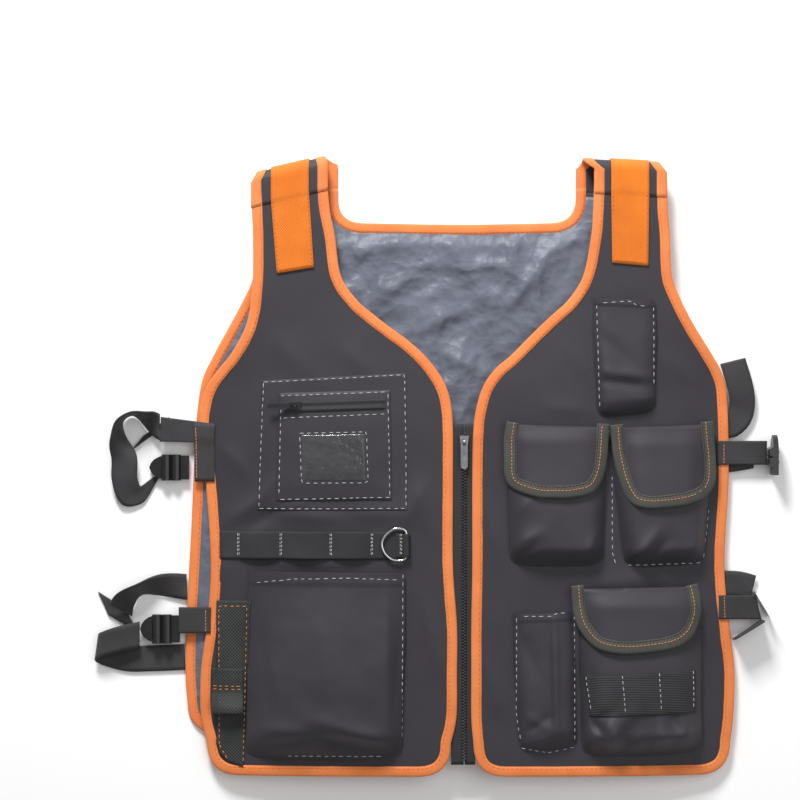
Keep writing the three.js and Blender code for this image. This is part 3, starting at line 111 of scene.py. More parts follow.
def curve_through(knots: Sequence[Row], step: float = 4.0) -> list[Row]:
    """Draws an even, smooth line through knots.

    Args:
        knots: The points that the line passes, of any number of values.
        step: Distance between the points of the result.

    Returns:
        Points along the line, its two ends among them.
    """
    points: list[Row] = []
    padded = [knots[0], *knots, knots[-1]]
    for a, b, c, d in zip(padded, padded[1:], padded[2:], padded[3:]):
        count = max(1, round(math.dist(b, c) / step))
        for i in range(count):
            t = i / count
            points.append(tuple(
                0.5 * (2 * q + (r - p) * t + (2 * p - 5 * q + 4 * r - s) * t * t
                       + (3 * q - p - 3 * r + s) * t ** 3)
                for p, q, r, s in zip(a, b, c, d)
            ))
    points.append(tuple(knots[-1]))
    return points


def straight_through(knots: Sequence[Point], step: float = 4.0) -> list[Point]:
    """Cuts a broken line into even steps.

    Args:
        knots: The corners of the line.
        step: Distance between the points of the result.

    Returns:
        Points along the line, its corners among them.
    """
    points: list[Point] = []
    for a, b in zip(knots, knots[1:]):
        count = max(1, round(math.dist(a, b) / step))
        points += [tuple(p + (q - p) * i / count for p, q in zip(a, b)) for i in range(count)]
    points.append(tuple(knots[-1]))
    return points


def rounded(a: Point, corner: Point, b: Point, steps: int = 8) -> list[Point]:
    """Rounds a corner between a point before it and a point after it."""
    return [tuple((1 - t) ** 2 * p + 2 * t * (1 - t) * q + t * t * r for p, q, r in zip(a, corner, b))
            for t in (i / steps for i in range(steps + 1))]


def at_share(points: Sequence[Union[Row, Vector]], share: float) -> Vector:
    """Finds the value at a share of a list, from 0 at its first entry to 1 at its last.

    Args:
        points: Tuples or vectors, in order.
        share: Where to read them.

    Returns:
        The value there, as a Vector.
    """
    place = min(max(share, 0.0), 1.0) * (len(points) - 1)
    index = min(int(place), len(points) - 2)
    return Vector(points[index]).lerp(Vector(points[index + 1]), place - index)


def inward(points: Sequence[Point], closed: bool) -> list[Vector]:
    """Works out the left-hand normal at each point of an anticlockwise outline.

    Args:
        points: The outline, or an open path.
        closed: Whether its last point joins its first.

    Returns:
        One normal for each point.
    """
    normals = []
    last = len(points) - 1
    for i in range(len(points)):
        before = points[i - 1 if closed or i else 0]
        after = points[(i + 1) % len(points) if closed else min(i + 1, last)]
        run = Vector(after) - Vector(before)
        normals.append(Vector((-run.y, run.x)).normalized())
    return normals


def beside(path: Sequence[Point], distance: float) -> list[Point]:
    """Draws a line at a distance to the left of an open path."""
    return [tuple(Vector(p) + n * distance) for p, n in zip(path, inward(path, False))]


def shrunk(points: Sequence[Point], distance: float) -> list[Point]:
    """Moves a closed anticlockwise outline inwards by a distance."""
    return [tuple(Vector(p) + n * distance) for p, n in zip(points, inward(points, True))]


def smooth(low: float, high: float, value: float) -> float:
    """Rises softly from 0 at low to 1 at high."""
    t = min(max((value - low) / (high - low), 0.0), 1.0)
    return t * t * (3 - 2 * t)


def ripple(x: float, y: float, size: float, seed: float) -> float:
    """Reads soft noise, from about -1 to 1, whose lumps are of that size."""
    return noise.noise(Vector((x / size, y / size, seed)))


@dataclass(frozen=True)
class Fold:
    """A crease from one point to another, raised where high is above 0."""

    x0: float
    y0: float
    x1: float
    y1: float
    wide: float
    high: float
    sharp: float = 1.4

    def at(self, x: float, y: float) -> float:
        """Reads the crease's height at a point.

        Args:
            x: Distance across.
            y: Distance up.

        Returns:
            The height, which falls off away from the crease.
        """
        dx, dy = self.x1 - self.x0, self.y1 - self.y0
        share = ((x - self.x0) * dx + (y - self.y0) * dy) / (dx * dx + dy * dy)
        held = min(max(share, 0.0), 1.0)
        off = math.hypot(x - self.x0 - dx * held, y - self.y0 - dy * held)
        fade = 1.0 - 0.65 * abs(2 * held - 1) ** 2
        return self.high * fade * math.exp(-((off / self.wide) ** self.sharp))


def folds_at(folds: Sequence[Fold], x: float, y: float) -> float:
    """Adds up the heights of several creases at a point."""
    return sum(fold.at(x, y) for fold in folds)


FRONT_DENTS = (
    # across, up, half width, half height and depth, as shares
    (-0.88, 0.42, 0.2, 0.12, 0.12),
    (-0.3, 0.66, 0.25, 0.08, 0.08),
    (0.75, 0.62, 0.2, 0.1, 0.1),
    (0.4, 0.28, 0.14, 0.05, 0.1),
)


def front_bed(x: float, y: float) -> float:
    """Finds the height of the underside of the front cloth.

    Args:
        x: Distance across.
        y: Distance up.

    Returns:
        The height in millimetres.
    """
    across = min(abs(x) / FRONT_WIDTH, 1.0)
    height = SIDE_HEIGHT + CHEST_RISE * (1 - across ** 3)
    for centre, up, wide, tall, deep in FRONT_DENTS:
        off = math.hypot((x / FRONT_WIDTH - centre) / wide, (y / FRONT_LENGTH - up) / tall)
        height -= CHEST_RISE * deep * math.exp(-off * off)
    share = smooth(0.62 * FRONT_LENGTH, 0.8 * FRONT_LENGTH, y)
    return height + (SHOULDER_HEIGHT - height) * share


def front_middle(x: float, y: float) -> float:
    """Finds the height of the middle of the front cloth, which its tape follows."""
    return front_bed(x, y) + CLOTH / 2


def back_middle(x: float, y: float) -> float:
    """Finds the height of the middle of the back cloth."""
    return BACK_BASE + CLOTH / 2


def inside(points: np.ndarray, outline: Sequence[Point]) -> np.ndarray:
    """Tells which points lie inside an outline.

    Args:
        points: One row of x and y for each point.
        outline: The closed outline.

    Returns:
        True for each point that is inside.
    """
    result = np.zeros(len(points), bool)
    x, y = points[:, 0], points[:, 1]
    for (x0, y0), (x1, y1) in zip(outline, [*outline[1:], outline[0]]):
        if y0 != y1:
            crosses = (y0 > y) != (y1 > y)
            result ^= crosses & (x < (x1 - x0) * (y - y0) / (y1 - y0) + x0)
    return result


class Ground:
    """The pieces that are already laid, which later ones lie on."""

    def __init__(self) -> None:
        """Starts with nothing laid."""
        self.trees: list[BVHTree] = []

    def add(self, obj: bpy.types.Object) -> None:
        """Lays one more piece."""
        mesh = obj.data
        self.trees.append(BVHTree.FromPolygons(
            [v.co.copy() for v in mesh.vertices], [tuple(p.vertices) for p in mesh.polygons]))

    def height(self, x: float, y: float, default: Optional[float] = None) -> float:
        """Finds the top of what lies at a point, in millimetres.

        Args:
            x: Distance across.
            y: Distance up.
            default: The height where nothing lies there.

        Returns:
            The height of the highest piece there.
        """
        start = PLAN.metres(Vector((x, y, SKY)))
        hits = [tree.ray_cast(start, Vector((0, 0, -1)))[0] for tree in self.trees]
        found = [hit.z / MM for hit in hits if hit is not None]
        if found:
            return max(found)
        return front_bed(x, y) + CLOTH if default is None else default


GROUND = Ground()


# Finishes


class Weave(Enum):
    """The ways in which threads cross."""

    PLAIN = "plain"
    TWILL = "twill"
    RIB = "rib"
    NONE = "none"


def value_node(tree: bpy.types.NodeTree, operation: str,
               *values: Union[bpy.types.NodeSocket, float]) -> bpy.types.NodeSocket:
    """Adds a Math node.

    Args:
        tree: The node tree.
        operation: The node's operation.
        values: Sockets or numbers for its inputs.

    Returns:
        The node's output.
    """
    node = tree.nodes.new("ShaderNodeMath")
    node.operation = operation
    for socket, value in zip(node.inputs, values):
        if isinstance(value, bpy.types.NodeSocket):
            tree.links.new(value, socket)
        else:
            socket.default_value = value
    return node.outputs[0]


def new_group(name: str, inputs: dict[str, float], outputs: Sequence[str]) -> bpy.types.NodeTree:
    """Starts a shader node group with a vector input, number inputs and number outputs.

    Args:
        name: The group's name.
        inputs: The number inputs and their usual values.
        outputs: The number outputs.

    Returns:
        The group, with its input and output nodes.
    """
    tree = bpy.data.node_groups.new(name, "ShaderNodeTree")
    tree.interface.new_socket("Vector", in_out="INPUT", socket_type="NodeSocketVector")
    for key, usual in inputs.items():
        socket = tree.interface.new_socket(key, in_out="INPUT", socket_type="NodeSocketFloat")
        socket.default_value = usual
    for key in outputs:
        tree.interface.new_socket(key, in_out="OUTPUT", socket_type="NodeSocketFloat")
    tree.nodes.new("NodeGroupInput")
    tree.nodes.new("NodeGroupOutput")
    return tree


def group_ends(tree: bpy.types.NodeTree) -> tuple[bpy.types.Node, bpy.types.Node]:
    """Finds a group's input and output nodes."""
    ends = {node.bl_idname: node for node in tree.nodes}
    return ends["NodeGroupInput"], ends["NodeGroupOutput"]


def thread_group(weave: Weave) -> bpy.types.NodeTree:
    """Builds the group that draws crossing threads from a pitch in metres.

    Args:
        weave: How the threads cross.

    Returns:
        The group, whose Height is 0 between threads and 1 on their backs.
    """
    name = f"threads_{weave.value}"
    if name in bpy.data.node_groups:
        return bpy.data.node_groups[name]
    tree = new_group(name, {"Pitch": 0.0012}, ["Height"])
    start, end = group_ends(tree)
    split = tree.nodes.new("ShaderNodeSeparateXYZ")
    tree.links.new(start.outputs["Vector"], split.inputs[0])
    turn = value_node(tree, "DIVIDE", 2 * math.pi, start.outputs["Pitch"])
    across = value_node(tree, "MULTIPLY", split.outputs[0], turn)
    along = value_node(tree, "MULTIPLY", split.outputs[1], turn)
    if weave is Weave.RIB:
        wave = value_node(tree, "SINE", along)
    elif weave is Weave.TWILL:
        slant = value_node(tree, "SINE", value_node(tree, "ADD", across, along))
        thread = value_node(tree, "SINE", value_node(tree, "MULTIPLY", across, 2.0))
        wave = value_node(tree, "MULTIPLY_ADD", thread, 0.3, value_node(tree, "MULTIPLY", slant, 0.7))
    else:
        wave = value_node(tree, "MULTIPLY", value_node(tree, "SINE", across), value_node(tree, "SINE", along))
    half = value_node(tree, "MULTIPLY_ADD", wave, 0.5, 0.5)
    tree.links.new(half, end.inputs["Height"])
    return tree


def mottle_group() -> bpy.types.NodeTree:
    """Builds the group that gives uneven wear: Broad is slow, Fine is a speckle.

    Returns:
        The group.
    """
    if "mottle" in bpy.data.node_groups:
        return bpy.data.node_groups["mottle"]
    tree = new_group("mottle", {"Broad Scale": 18.0, "Fine Scale": 900.0}, ["Broad", "Fine"])
    start, end = group_ends(tree)
    for key, detail in (("Broad", 3.0), ("Fine", 1.0)):
        cloud = tree.nodes.new("ShaderNodeTexNoise")
        cloud.inputs["Detail"].default_value = detail
        cloud.inputs["Roughness"].default_value = 0.6
        tree.links.new(start.outputs["Vector"], cloud.inputs["Vector"])
        tree.links.new(start.outputs[f"{key} Scale"], cloud.inputs["Scale"])
        tree.links.new(cloud.outputs["Fac"], end.inputs[key])
    return tree


def crumple_group() -> bpy.types.NodeTree:
    """Builds the group that gives a net of soft creases, such as a stiff coated cloth takes.

    Returns:
        The group.
    """
    if "crumple" in bpy.data.node_groups:
        return bpy.data.node_groups["crumple"]
    tree = new_group("crumple", {"Scale": 25.0, "Bend": 0.02}, ["Height"])
    start, end = group_ends(tree)
    warp = tree.nodes.new("ShaderNodeTexNoise")
    warp.inputs["Scale"].default_value = 14.0
    tree.links.new(start.outputs["Vector"], warp.inputs["Vector"])
    push = tree.nodes.new("ShaderNodeVectorMath")
    push.operation = "SCALE"
    tree.links.new(warp.outputs["Color"], push.inputs[0])
    tree.links.new(start.outputs["Bend"], push.inputs["Scale"])
    moved = tree.nodes.new("ShaderNodeVectorMath")
    tree.links.new(start.outputs["Vector"], moved.inputs[0])
    tree.links.new(push.outputs[0], moved.inputs[1])
    total = None
    for factor, weight in ((1.0, 0.65), (2.7, 0.35)):
        cells = tree.nodes.new("ShaderNodeTexVoronoi")
        cells.feature = "F1"
        tree.links.new(moved.outputs[0], cells.inputs["Vector"])
        tree.links.new(value_node(tree, "MULTIPLY", start.outputs["Scale"], factor), cells.inputs["Scale"])
        part = value_node(tree, "MULTIPLY", cells.outputs["Distance"], weight)
        total = part if total is None else value_node(tree, "ADD", total, part)
    tree.links.new(total, end.inputs["Height"])
    return tree


def add_group(tree: bpy.types.NodeTree, group: bpy.types.NodeTree, vector: bpy.types.NodeSocket,
              **values: float) -> bpy.types.Node:
    """Places a group in a material.

    Args:
        tree: The material's tree.
        group: The group.
        vector: What its Vector input reads.
        values: Its number inputs, with spaces written as underlines.

    Returns:
        The group's node.
    """
    node = tree.nodes.new("ShaderNodeGroup")
    node.node_tree = group
    tree.links.new(vector, node.inputs["Vector"])
    for key, value in values.items():
        node.inputs[key.replace("_", " ")].default_value = value
    return node


@dataclass(frozen=True)
class Finish:
    """A surface: its colours, threads, creases and shine."""

    name: str
    slot: str
    dark: tuple[float, float, float]
    light: tuple[float, float, float]
    roughness: float = 0.8
    metallic: float = 0.0
    weave: Weave = Weave.NONE
    pitch: float = 1.4
    thread_depth: float = 0.15
    crumple: float = 0.0
    crumple_scale: float = 25.0
    broad_scale: float = 16.0
    sheen: float = 0.0
    coat: float = 0.0
    alpha: float = 1.0
    specular: float = 0.4

    def material(self) -> bpy.types.Material:
        """Builds the material once and gives it back each time.

        Returns:
            The material.
        """
        name = f"{self.name}_surface"
        if name in bpy.data.materials:
            return bpy.data.materials[name]
        made = bpy.data.materials.new(name)
        made.use_nodes = True
        tree = made.node_tree
        shader = tree.nodes["Principled BSDF"]
        shader.inputs["Metallic"].default_value = self.metallic
        shader.inputs["Coat Weight"].default_value = self.coat
        shader.inputs["Coat Roughness"].default_value = 0.15
        shader.inputs["Specular IOR Level"].default_value = self.specular
        if self.sheen:
            shader.inputs["Sheen Weight"].default_value = self.sheen
            shader.inputs["Sheen Roughness"].default_value = 0.5
        place = tree.nodes.new("ShaderNodeTexCoord")
        mottle = add_group(tree, mottle_group(), place.outputs["Object"], Broad_Scale=self.broad_scale)
        shade = value_node(tree, "MULTIPLY_ADD", mottle.outputs["Broad"], 0.7,
                           value_node(tree, "MULTIPLY", mottle.outputs["Fine"], 0.3))
        height = value_node(tree, "MULTIPLY", mottle.outputs["Fine"], 0.02)
        if self.weave is not Weave.NONE:
            threads = add_group(tree, thread_group(self.weave), place.outputs["UV"], Pitch=self.pitch * MM)
            shade = value_node(tree, "MULTIPLY_ADD", threads.outputs["Height"], 0.45,
                               value_node(tree, "MULTIPLY", shade, 0.7))
            height = value_node(tree, "MULTIPLY_ADD", threads.outputs["Height"], self.thread_depth, height)
        if self.crumple:
            creases = add_group(tree, crumple_group(), place.outputs["Object"], Scale=self.crumple_scale)
            height = value_node(tree, "MULTIPLY_ADD", creases.outputs["Height"], self.crumple, height)
            # Painted light and shade: the crease height also darkens the colour in the creases' hollows and
            # lightens it on their ridges.
            shade = value_node(tree, "MULTIPLY_ADD", creases.outputs["Height"], 0.35, shade)
        ramp = tree.nodes.new("ShaderNodeValToRGB")
        ramp.color_ramp.elements[0].position = 0.25
        ramp.color_ramp.elements[1].position = 0.85
        ramp.color_ramp.elements[0].color = (*self.dark, 1)
        ramp.color_ramp.elements[1].color = (*self.light, 1)
        tree.links.new(shade, ramp.inputs["Fac"])
        tree.links.new(ramp.outputs["Color"], shader.inputs["Base Color"])
        rough = value_node(tree, "MULTIPLY_ADD", mottle.outputs["Fine"], 0.2, self.roughness - 0.1)
        tree.links.new(rough, shader.inputs["Roughness"])
        bump = tree.nodes.new("ShaderNodeBump")
        bump.inputs["Strength"].default_value = 1.0
        bump.inputs["Distance"].default_value = MM
        tree.links.new(height, bump.inputs["Height"])
        tree.links.new(bump.outputs["Normal"], shader.inputs["Normal"])
        if self.alpha < 1:
            shader.inputs["Alpha"].default_value = self.alpha
        return made


CHARCOAL = Finish("charcoal_oxford", "body_cloth", (0.0195, 0.0175, 0.0225), (0.038, 0.0345, 0.0435), 0.60,
                  weave=Weave.PLAIN, pitch=1.5, thread_depth=0.08, sheen=0.06, broad_scale=9.0)
LINING = Finish("crumpled_lining", "lining_cloth", (0.048, 0.054, 0.076), (0.140, 0.152, 0.196), 0.46,
                weave=Weave.PLAIN, pitch=1.1, thread_depth=0.04, crumple=2.4, crumple_scale=42.0,
                broad_scale=12.0)
ORANGE_TAPE = Finish("orange_tape", "orange_tape", (0.61, 0.127, 0.028), (0.87, 0.28, 0.080), 0.78,
                     weave=Weave.PLAIN, pitch=1.5, thread_depth=0.09, sheen=0.15, broad_scale=30.0)
ORANGE_WEB = Finish("orange_twill", "orange_webbing", (0.50, 0.092, 0.003), (0.84, 0.222, 0.008), 0.75,
                    weave=Weave.TWILL, pitch=2.6, thread_depth=0.3, sheen=0.12, broad_scale=26.0)
BLACK_WEB = Finish("black_webbing", "black_webbing", (0.013, 0.012, 0.013), (0.052, 0.049, 0.053), 0.66,
                   weave=Weave.TWILL, pitch=2.2, thread_depth=0.28, sheen=0.08, broad_scale=30.0)
LOOP_WEB = Finish("tool_loop_weave", "black_webbing", (0.009, 0.008, 0.010), (0.036, 0.034, 0.039), 0.7,
                  weave=Weave.TWILL, pitch=2.0, thread_depth=0.25, broad_scale=30.0)
COARSE_WEB = Finish("coarse_black_weave", "black_webbing", (0.004, 0.005, 0.005), (0.046, 0.050, 0.047), 0.7,
                    weave=Weave.PLAIN, pitch=3.4, thread_depth=0.5, broad_scale=40.0)
ELASTIC = Finish("ribbed_elastic", "black_webbing", (0.007, 0.007, 0.008), (0.040, 0.038, 0.042), 0.7,
                 weave=Weave.RIB, pitch=1.7, thread_depth=0.4, broad_scale=30.0)
FLAP_TAPE = Finish("grey_green_tape", "flap_tape", (0.036, 0.036, 0.031), (0.076, 0.076, 0.066), 0.8,
                   weave=Weave.RIB, pitch=1.7, thread_depth=0.14, sheen=0.1, broad_scale=30.0)
ZIP_TAPE = Finish("zip_tape", "zip_tape", (0.010, 0.010, 0.012), (0.035, 0.034, 0.038), 0.75,
                  weave=Weave.RIB, pitch=1.3, thread_depth=0.12)
GREY_THREAD = Finish("pale_thread", "body_cloth", (0.34, 0.34, 0.35), (0.62, 0.62, 0.62), 0.7, sheen=0.2)
ORANGE_THREAD = Finish("orange_thread", "orange_tape", (0.62, 0.20, 0.05), (0.85, 0.36, 0.12), 0.7, sheen=0.2)
DEEP_THREAD = Finish("tape_thread", "orange_tape", (0.62, 0.13, 0.02), (0.80, 0.22, 0.05), 0.75)
FILM = Finish("clear_film", "clear_film", (0.05, 0.05, 0.055), (0.12, 0.12, 0.13), 0.1,
              crumple=1.5, crumple_scale=70.0, coat=0.2, alpha=0.3, specular=0.6)
PLASTIC = Finish("black_plastic", "black_plastic", (0.006, 0.006, 0.007), (0.018, 0.018, 0.019), 0.35,
                 specular=0.5, broad_scale=60.0)
ZIP_METAL = Finish("zip_metal", "zip_metal", (0.16, 0.16, 0.17), (0.42, 0.42, 0.44), 0.35, metallic=1.0,
                   broad_scale=200.0)
DARK_METAL = Finish("dark_zip_metal", "zip_metal", (0.05, 0.05, 0.055), (0.16, 0.16, 0.17), 0.38,
                    metallic=1.0,
                    broad_scale=200.0)
RING_METAL = Finish("bright_ring", "ring_metal", (0.58, 0.58, 0.60), (0.82, 0.82, 0.84), 0.16, metallic=1.0,
                    broad_scale=90.0)


# Mesh makers


def dress(bm: bmesh.types.BMesh, name: str, finish: Finish, stands_for: Sequence[str] = (),
          wall: float = 0.0, body: str = "root", shade_smooth: bool = True) -> bpy.types.Object:
    """Makes a finished piece of a bmesh that is in the frame's metres.

    Args:
        bm: The shape, which is freed.
        name: The piece's name.
        finish: Its surface.
        stands_for: The solids that it replaces.
        wall: Thickness added below its surface, in millimetres.
        body: The body that it moves with.
        shade_smooth: Whether its faces are shaded smooth.

    Returns:
        The piece.
    """
    mesh = bpy.data.meshes.new(name)
    bm.to_mesh(mesh)
    bm.free()
    mesh.polygons.foreach_set("use_smooth", [shade_smooth] * len(mesh.polygons))
    mesh.materials.append(finish.material())
    piece = bpy.data.objects.new(name, mesh)
    bpy.context.scene.collection.objects.link(piece)
    if wall:
        solidify = piece.modifiers.new("wall", "SOLIDIFY")
        solidify.thickness = wall * MM
        solidify.offset = -1.0
    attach(piece, body)
    if stands_for:
        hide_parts(*stands_for)
    log.info("%s: %d faces", name, len(mesh.polygons))
    return piece


def face_up(bm: bmesh.types.BMesh) -> None:
    """Turns an open sheet so that most of it faces up."""
    if sum(face.normal.z * face.calc_area() for face in bm.faces) < 0:
        bmesh.ops.reverse_faces(bm, faces=bm.faces[:])


def bend_grid(columns: int, rows: int, place: Place) -> bmesh.types.BMesh:
    """Bends a flat grid to a shape.

    Args:
        columns: Steps across.
        rows: Steps along.
        place: Gives the spot and the thread coordinates, both in millimetres, at two shares.

    Returns:
        The sheet in metres, with its thread coordinates as its UV map.
    """
    bm = bmesh.new()
    bmesh.ops.create_grid(bm, x_segments=columns, y_segments=rows, size=0.5)
    threads = {}
    for vert in bm.verts:
        spot, thread = place(vert.co.x + 0.5, vert.co.y + 0.5)
        threads[vert] = (thread[0] * MM, thread[1] * MM)
        vert.co = PLAN.metres(spot)
    layer = bm.loops.layers.uv.new("threads")
    for face in bm.faces:
        for loop in face.loops:
            loop[layer].uv = threads[loop.vert]
    bm.normal_update()
    return bm


def nearest_on(outline: Sequence[Point], spot: np.ndarray) -> tuple[np.ndarray, float]:
    """Finds the nearest point of a closed outline.

    Args:
        outline: The closed outline.
        spot: The point to start from.

    Returns:
        The nearest point and its distance.
    """
    starts = np.array(outline)
    runs = np.roll(starts, -1, axis=0) - starts
    sizes = np.maximum((runs ** 2).sum(axis=1), 1e-9)
    shares = np.clip(((spot - starts) * runs).sum(axis=1) / sizes, 0, 1)
    places = starts + runs * shares[:, None]
    gaps = np.hypot(*(places - spot).T)
    best = int(gaps.argmin())
    return places[best], float(gaps[best])


def cut_sheet(outline: Sequence[Point], step: float, height: Height, rim: Optional[float] = None,
              rim_width: float = 14.0) -> bmesh.types.BMesh:
    """Cuts a draped sheet to an outline.

    Args:
        outline: The closed outline.
        step: Size of the sheet's mesh.
        height: Gives the sheet's top at a point.
        rim: The height that the sheet sinks to at its edge.
        rim_width: How far from the edge it has risen again.

    Returns:
        The sheet in metres.
    """
    xs, ys = [p[0] for p in outline], [p[1] for p in outline]
    low, size = (min(xs), min(ys)), (max(xs) - min(xs), max(ys) - min(ys))
    columns, rows = (max(2, round(side / step)) for side in size)

    def place(s: float, t: float) -> tuple[Vector, Point]:
        """Lays the grid over the outline's box."""
        x, y = low[0] + s * size[0], low[1] + t * size[1]
        return Vector((x, y, 0.0)), (x, y)

    bm = bend_grid(columns, rows, place)
    centres = np.array([tuple(face.calc_center_median()[:2]) for face in bm.faces]) / MM
    centres -= np.array([PLAN.x, PLAN.y])
    keep = inside(centres, outline)
    faces = bm.faces[:]
    bmesh.ops.delete(bm, geom=[f for f, kept in zip(faces, keep) if not kept], context="FACES")
    for vert in bm.verts:
        spot = np.array((vert.co.x / MM - PLAN.x, vert.co.y / MM - PLAN.y))
        away = rim_width
        if vert.is_boundary or rim is not None:
            edge, away = nearest_on(outline, spot)
            if vert.is_boundary:
                spot, away = edge, 0.0
        z = height(*spot)
        if rim is not None:
            z = rim + (z - rim) * smooth(0.0, rim_width, away)
        vert.co = PLAN.metres(Vector((*spot, z)))
    bm.normal_update()
    face_up(bm)
    return bm


TAPE_SECTION = (
    # distance in from the edge and height over the middle of the cloth
    (1.0, 0.95), (0.97, 1.5), (0.62, 1.8), (0.2, 1.7), (0.05, 1.1), (0.0, 0.0),
    (0.05, -1.1), (0.2, -1.6), (0.62, -1.7), (0.97, -1.5), (1.0, -0.95),
)


def tape_round(path: Sequence[Point], middle: Height, width: float,
               wobble: float = 0.35) -> bmesh.types.BMesh:
    """Folds a tape round the edge of a cloth.

    Args:
        path: The edge, with the cloth on its left.
        middle: Gives the height of the middle of the cloth.
        width: How far the tape reaches over the cloth.
        wobble: How much its sewn edge wanders.

    Returns:
        The tape in metres.
    """
    normals = inward(path, False)
    run = [0.0]
    for a, b in zip(path, path[1:]):
        run.append(run[-1] + math.dist(a, b))
    columns, rows = len(TAPE_SECTION) - 1, len(path) - 1

    def place(s: float, t: float) -> tuple[Vector, Point]:
        """Folds the grid round the edge.

        Args:
            s: Share across.
            t: Share along.

        Returns:
            The spot and its thread coordinates.
        """
        i, j = round(s * columns), round(t * rows)
        share, up = TAPE_SECTION[i]
        reach = share * width + (wobble * ripple(run[j], 3.0, 14.0, 2.0) if share > 0.5 else 0.0)
        spot = Vector(path[j]) + normals[j] * reach
        z = middle(spot.x, spot.y) + up * (1 + 0.12 * ripple(run[j], 8.0, 9.0, 5.0))
        return Vector((spot.x, spot.y, z)), (i * width / 5, run[j])

    bm = bend_grid(columns, rows, place)
    upper = [f for f in bm.faces if abs(f.normal.z) > 0.6]
    if upper:
        top = max(upper, key=lambda f: f.calc_center_median().z)
        if top.normal.z < 0:
            bmesh.ops.reverse_faces(bm, faces=bm.faces[:])
    return bm


def web_run(line: Sequence[Vector], across: Sequence[Vector], width: float, sag: float = 0.0,
            columns: int = 6) -> bmesh.types.BMesh:
    """Runs a flat web along a line in space.

    Args:
        line: The middle of the web.
        across: The direction of its width at each point.
        width: Its width.
        sag: How far its middle lies below its two edges.
        columns: Steps across.

    Returns:
        The web's upper side in metres.
    """
    run = [0.0]
    for a, b in zip(line, line[1:]):
        run.append(run[-1] + (b - a).length)
    rows = len(line) - 1

    def place(s: float, t: float) -> tuple[Vector, Point]:
        """Lays the grid along the line.

        Args:
            s: Share across.
            t: Share along.

        Returns:
            The spot and its thread coordinates.
        """
        j = round(t * rows)
        spot = line[j] + across[j] * ((s - 0.5) * width)
        spot.z -= sag * (1 - (2 * s - 1) ** 2)
        return spot, (s * width, run[j])

    return bend_grid(columns, rows, place)


@dataclass
class Seam:
    """Rows of stitches of one thread, kept as one piece."""

    name: str
    finish: Finish
    length: float = 4.6
    gap: float = 2.9
    radius: float = 0.45
    steepest: float = 2.2
    shape: bmesh.types.BMesh = field(default_factory=bmesh.new)

    def row(self, path: Sequence[Point], height: Height) -> None:
        """Sews along a path.

        Args:
            path: Where the row goes.
            height: Gives the height of the surface under it.
        """
        chance = random.Random(round(1000 * (path[0][0] + 7 * path[-1][1])))
        dots = straight_through(path, 0.5)
        run, total = 0.0, 0.5 * (len(dots) - 1)
        while run + self.length < total:
            size = self.length * chance.uniform(0.8, 1.15)
            a = at_share(dots, run / total)
            b = at_share(dots, min((run + size) / total, 1.0))
            drift = Vector((chance.uniform(-0.15, 0.15), chance.uniform(-0.15, 0.15)))
            self.stitch(a + drift, b + drift, height)
            run += size + self.gap * chance.uniform(0.8, 1.2)

    def stitch(self, a: Vector, b: Vector, height: Height) -> None:
        """Lays one stitch from a to b, unless it would hang over an edge.

        Args:
            a: Its start.
            b: Its end.
            height: Gives the height of the surface under it.
        """
        ends = [PLAN.metres(Vector((p.x, p.y, height(p.x, p.y) + self.radius * 0.55))) for p in (a, b)]
        run = ends[1] - ends[0]
        if abs(run.z) > self.steepest * MM:
            return
        turn = run.to_track_quat("X", "Z").to_matrix().to_4x4()
        size = Matrix.Diagonal((run.length / 2 + self.radius * MM, self.radius * MM, self.radius * 0.8 * MM,
                                1))
        bmesh.ops.create_icosphere(self.shape, subdivisions=1, radius=1.0,
                                   matrix=Matrix.Translation((ends[0] + ends[1]) / 2) @ turn @ size)

    def finished(self) -> bpy.types.Object:
        """Makes the piece of all its stitches."""
        return dress(self.shape, self.name, self.finish)


def on_ground(x: float, y: float) -> float:
    """Reads the top of what lies at a point."""
    return GROUND.height(x, y)


# Sub-assemblies


@dataclass
class Outline:
    """The cut of one front or of the back, as rows of height and its two edges."""

    rows: tuple[tuple[float, float, float], ...]
    hem: float
    radius: float
    side: int

    def edge(self, column: int) -> list[Point]:
        """Draws one edge upwards from the rounded hem corner.

        Args:
            column: The edge's column in the rows, 1 or 2.

        Returns:
            Points along the edge.
        """
        signs = (self.side, self.side) if self.side else (-1, 1)
        knots = [(signs[column - 1] * row[column], row[0]) for row in self.rows]
        return curve_through(knots)

    def hem_run(self) -> list[Point]:
        """Draws the hem from the wearer's right to the left, with both corners.

        Returns:
            Points along the hem.
        """
        a, b = sorted((self.edge(1)[0], self.edge(2)[0]))
        r = self.radius
        right = rounded((a[0], a[1]), (a[0], self.hem), (a[0] + 1.2 * r, self.hem))
        left = rounded((b[0] - 1.2 * r, self.hem), (b[0], self.hem), (b[0], b[1]))
        return [*right, *straight_through((right[-1], left[0]))[1:-1], *left]


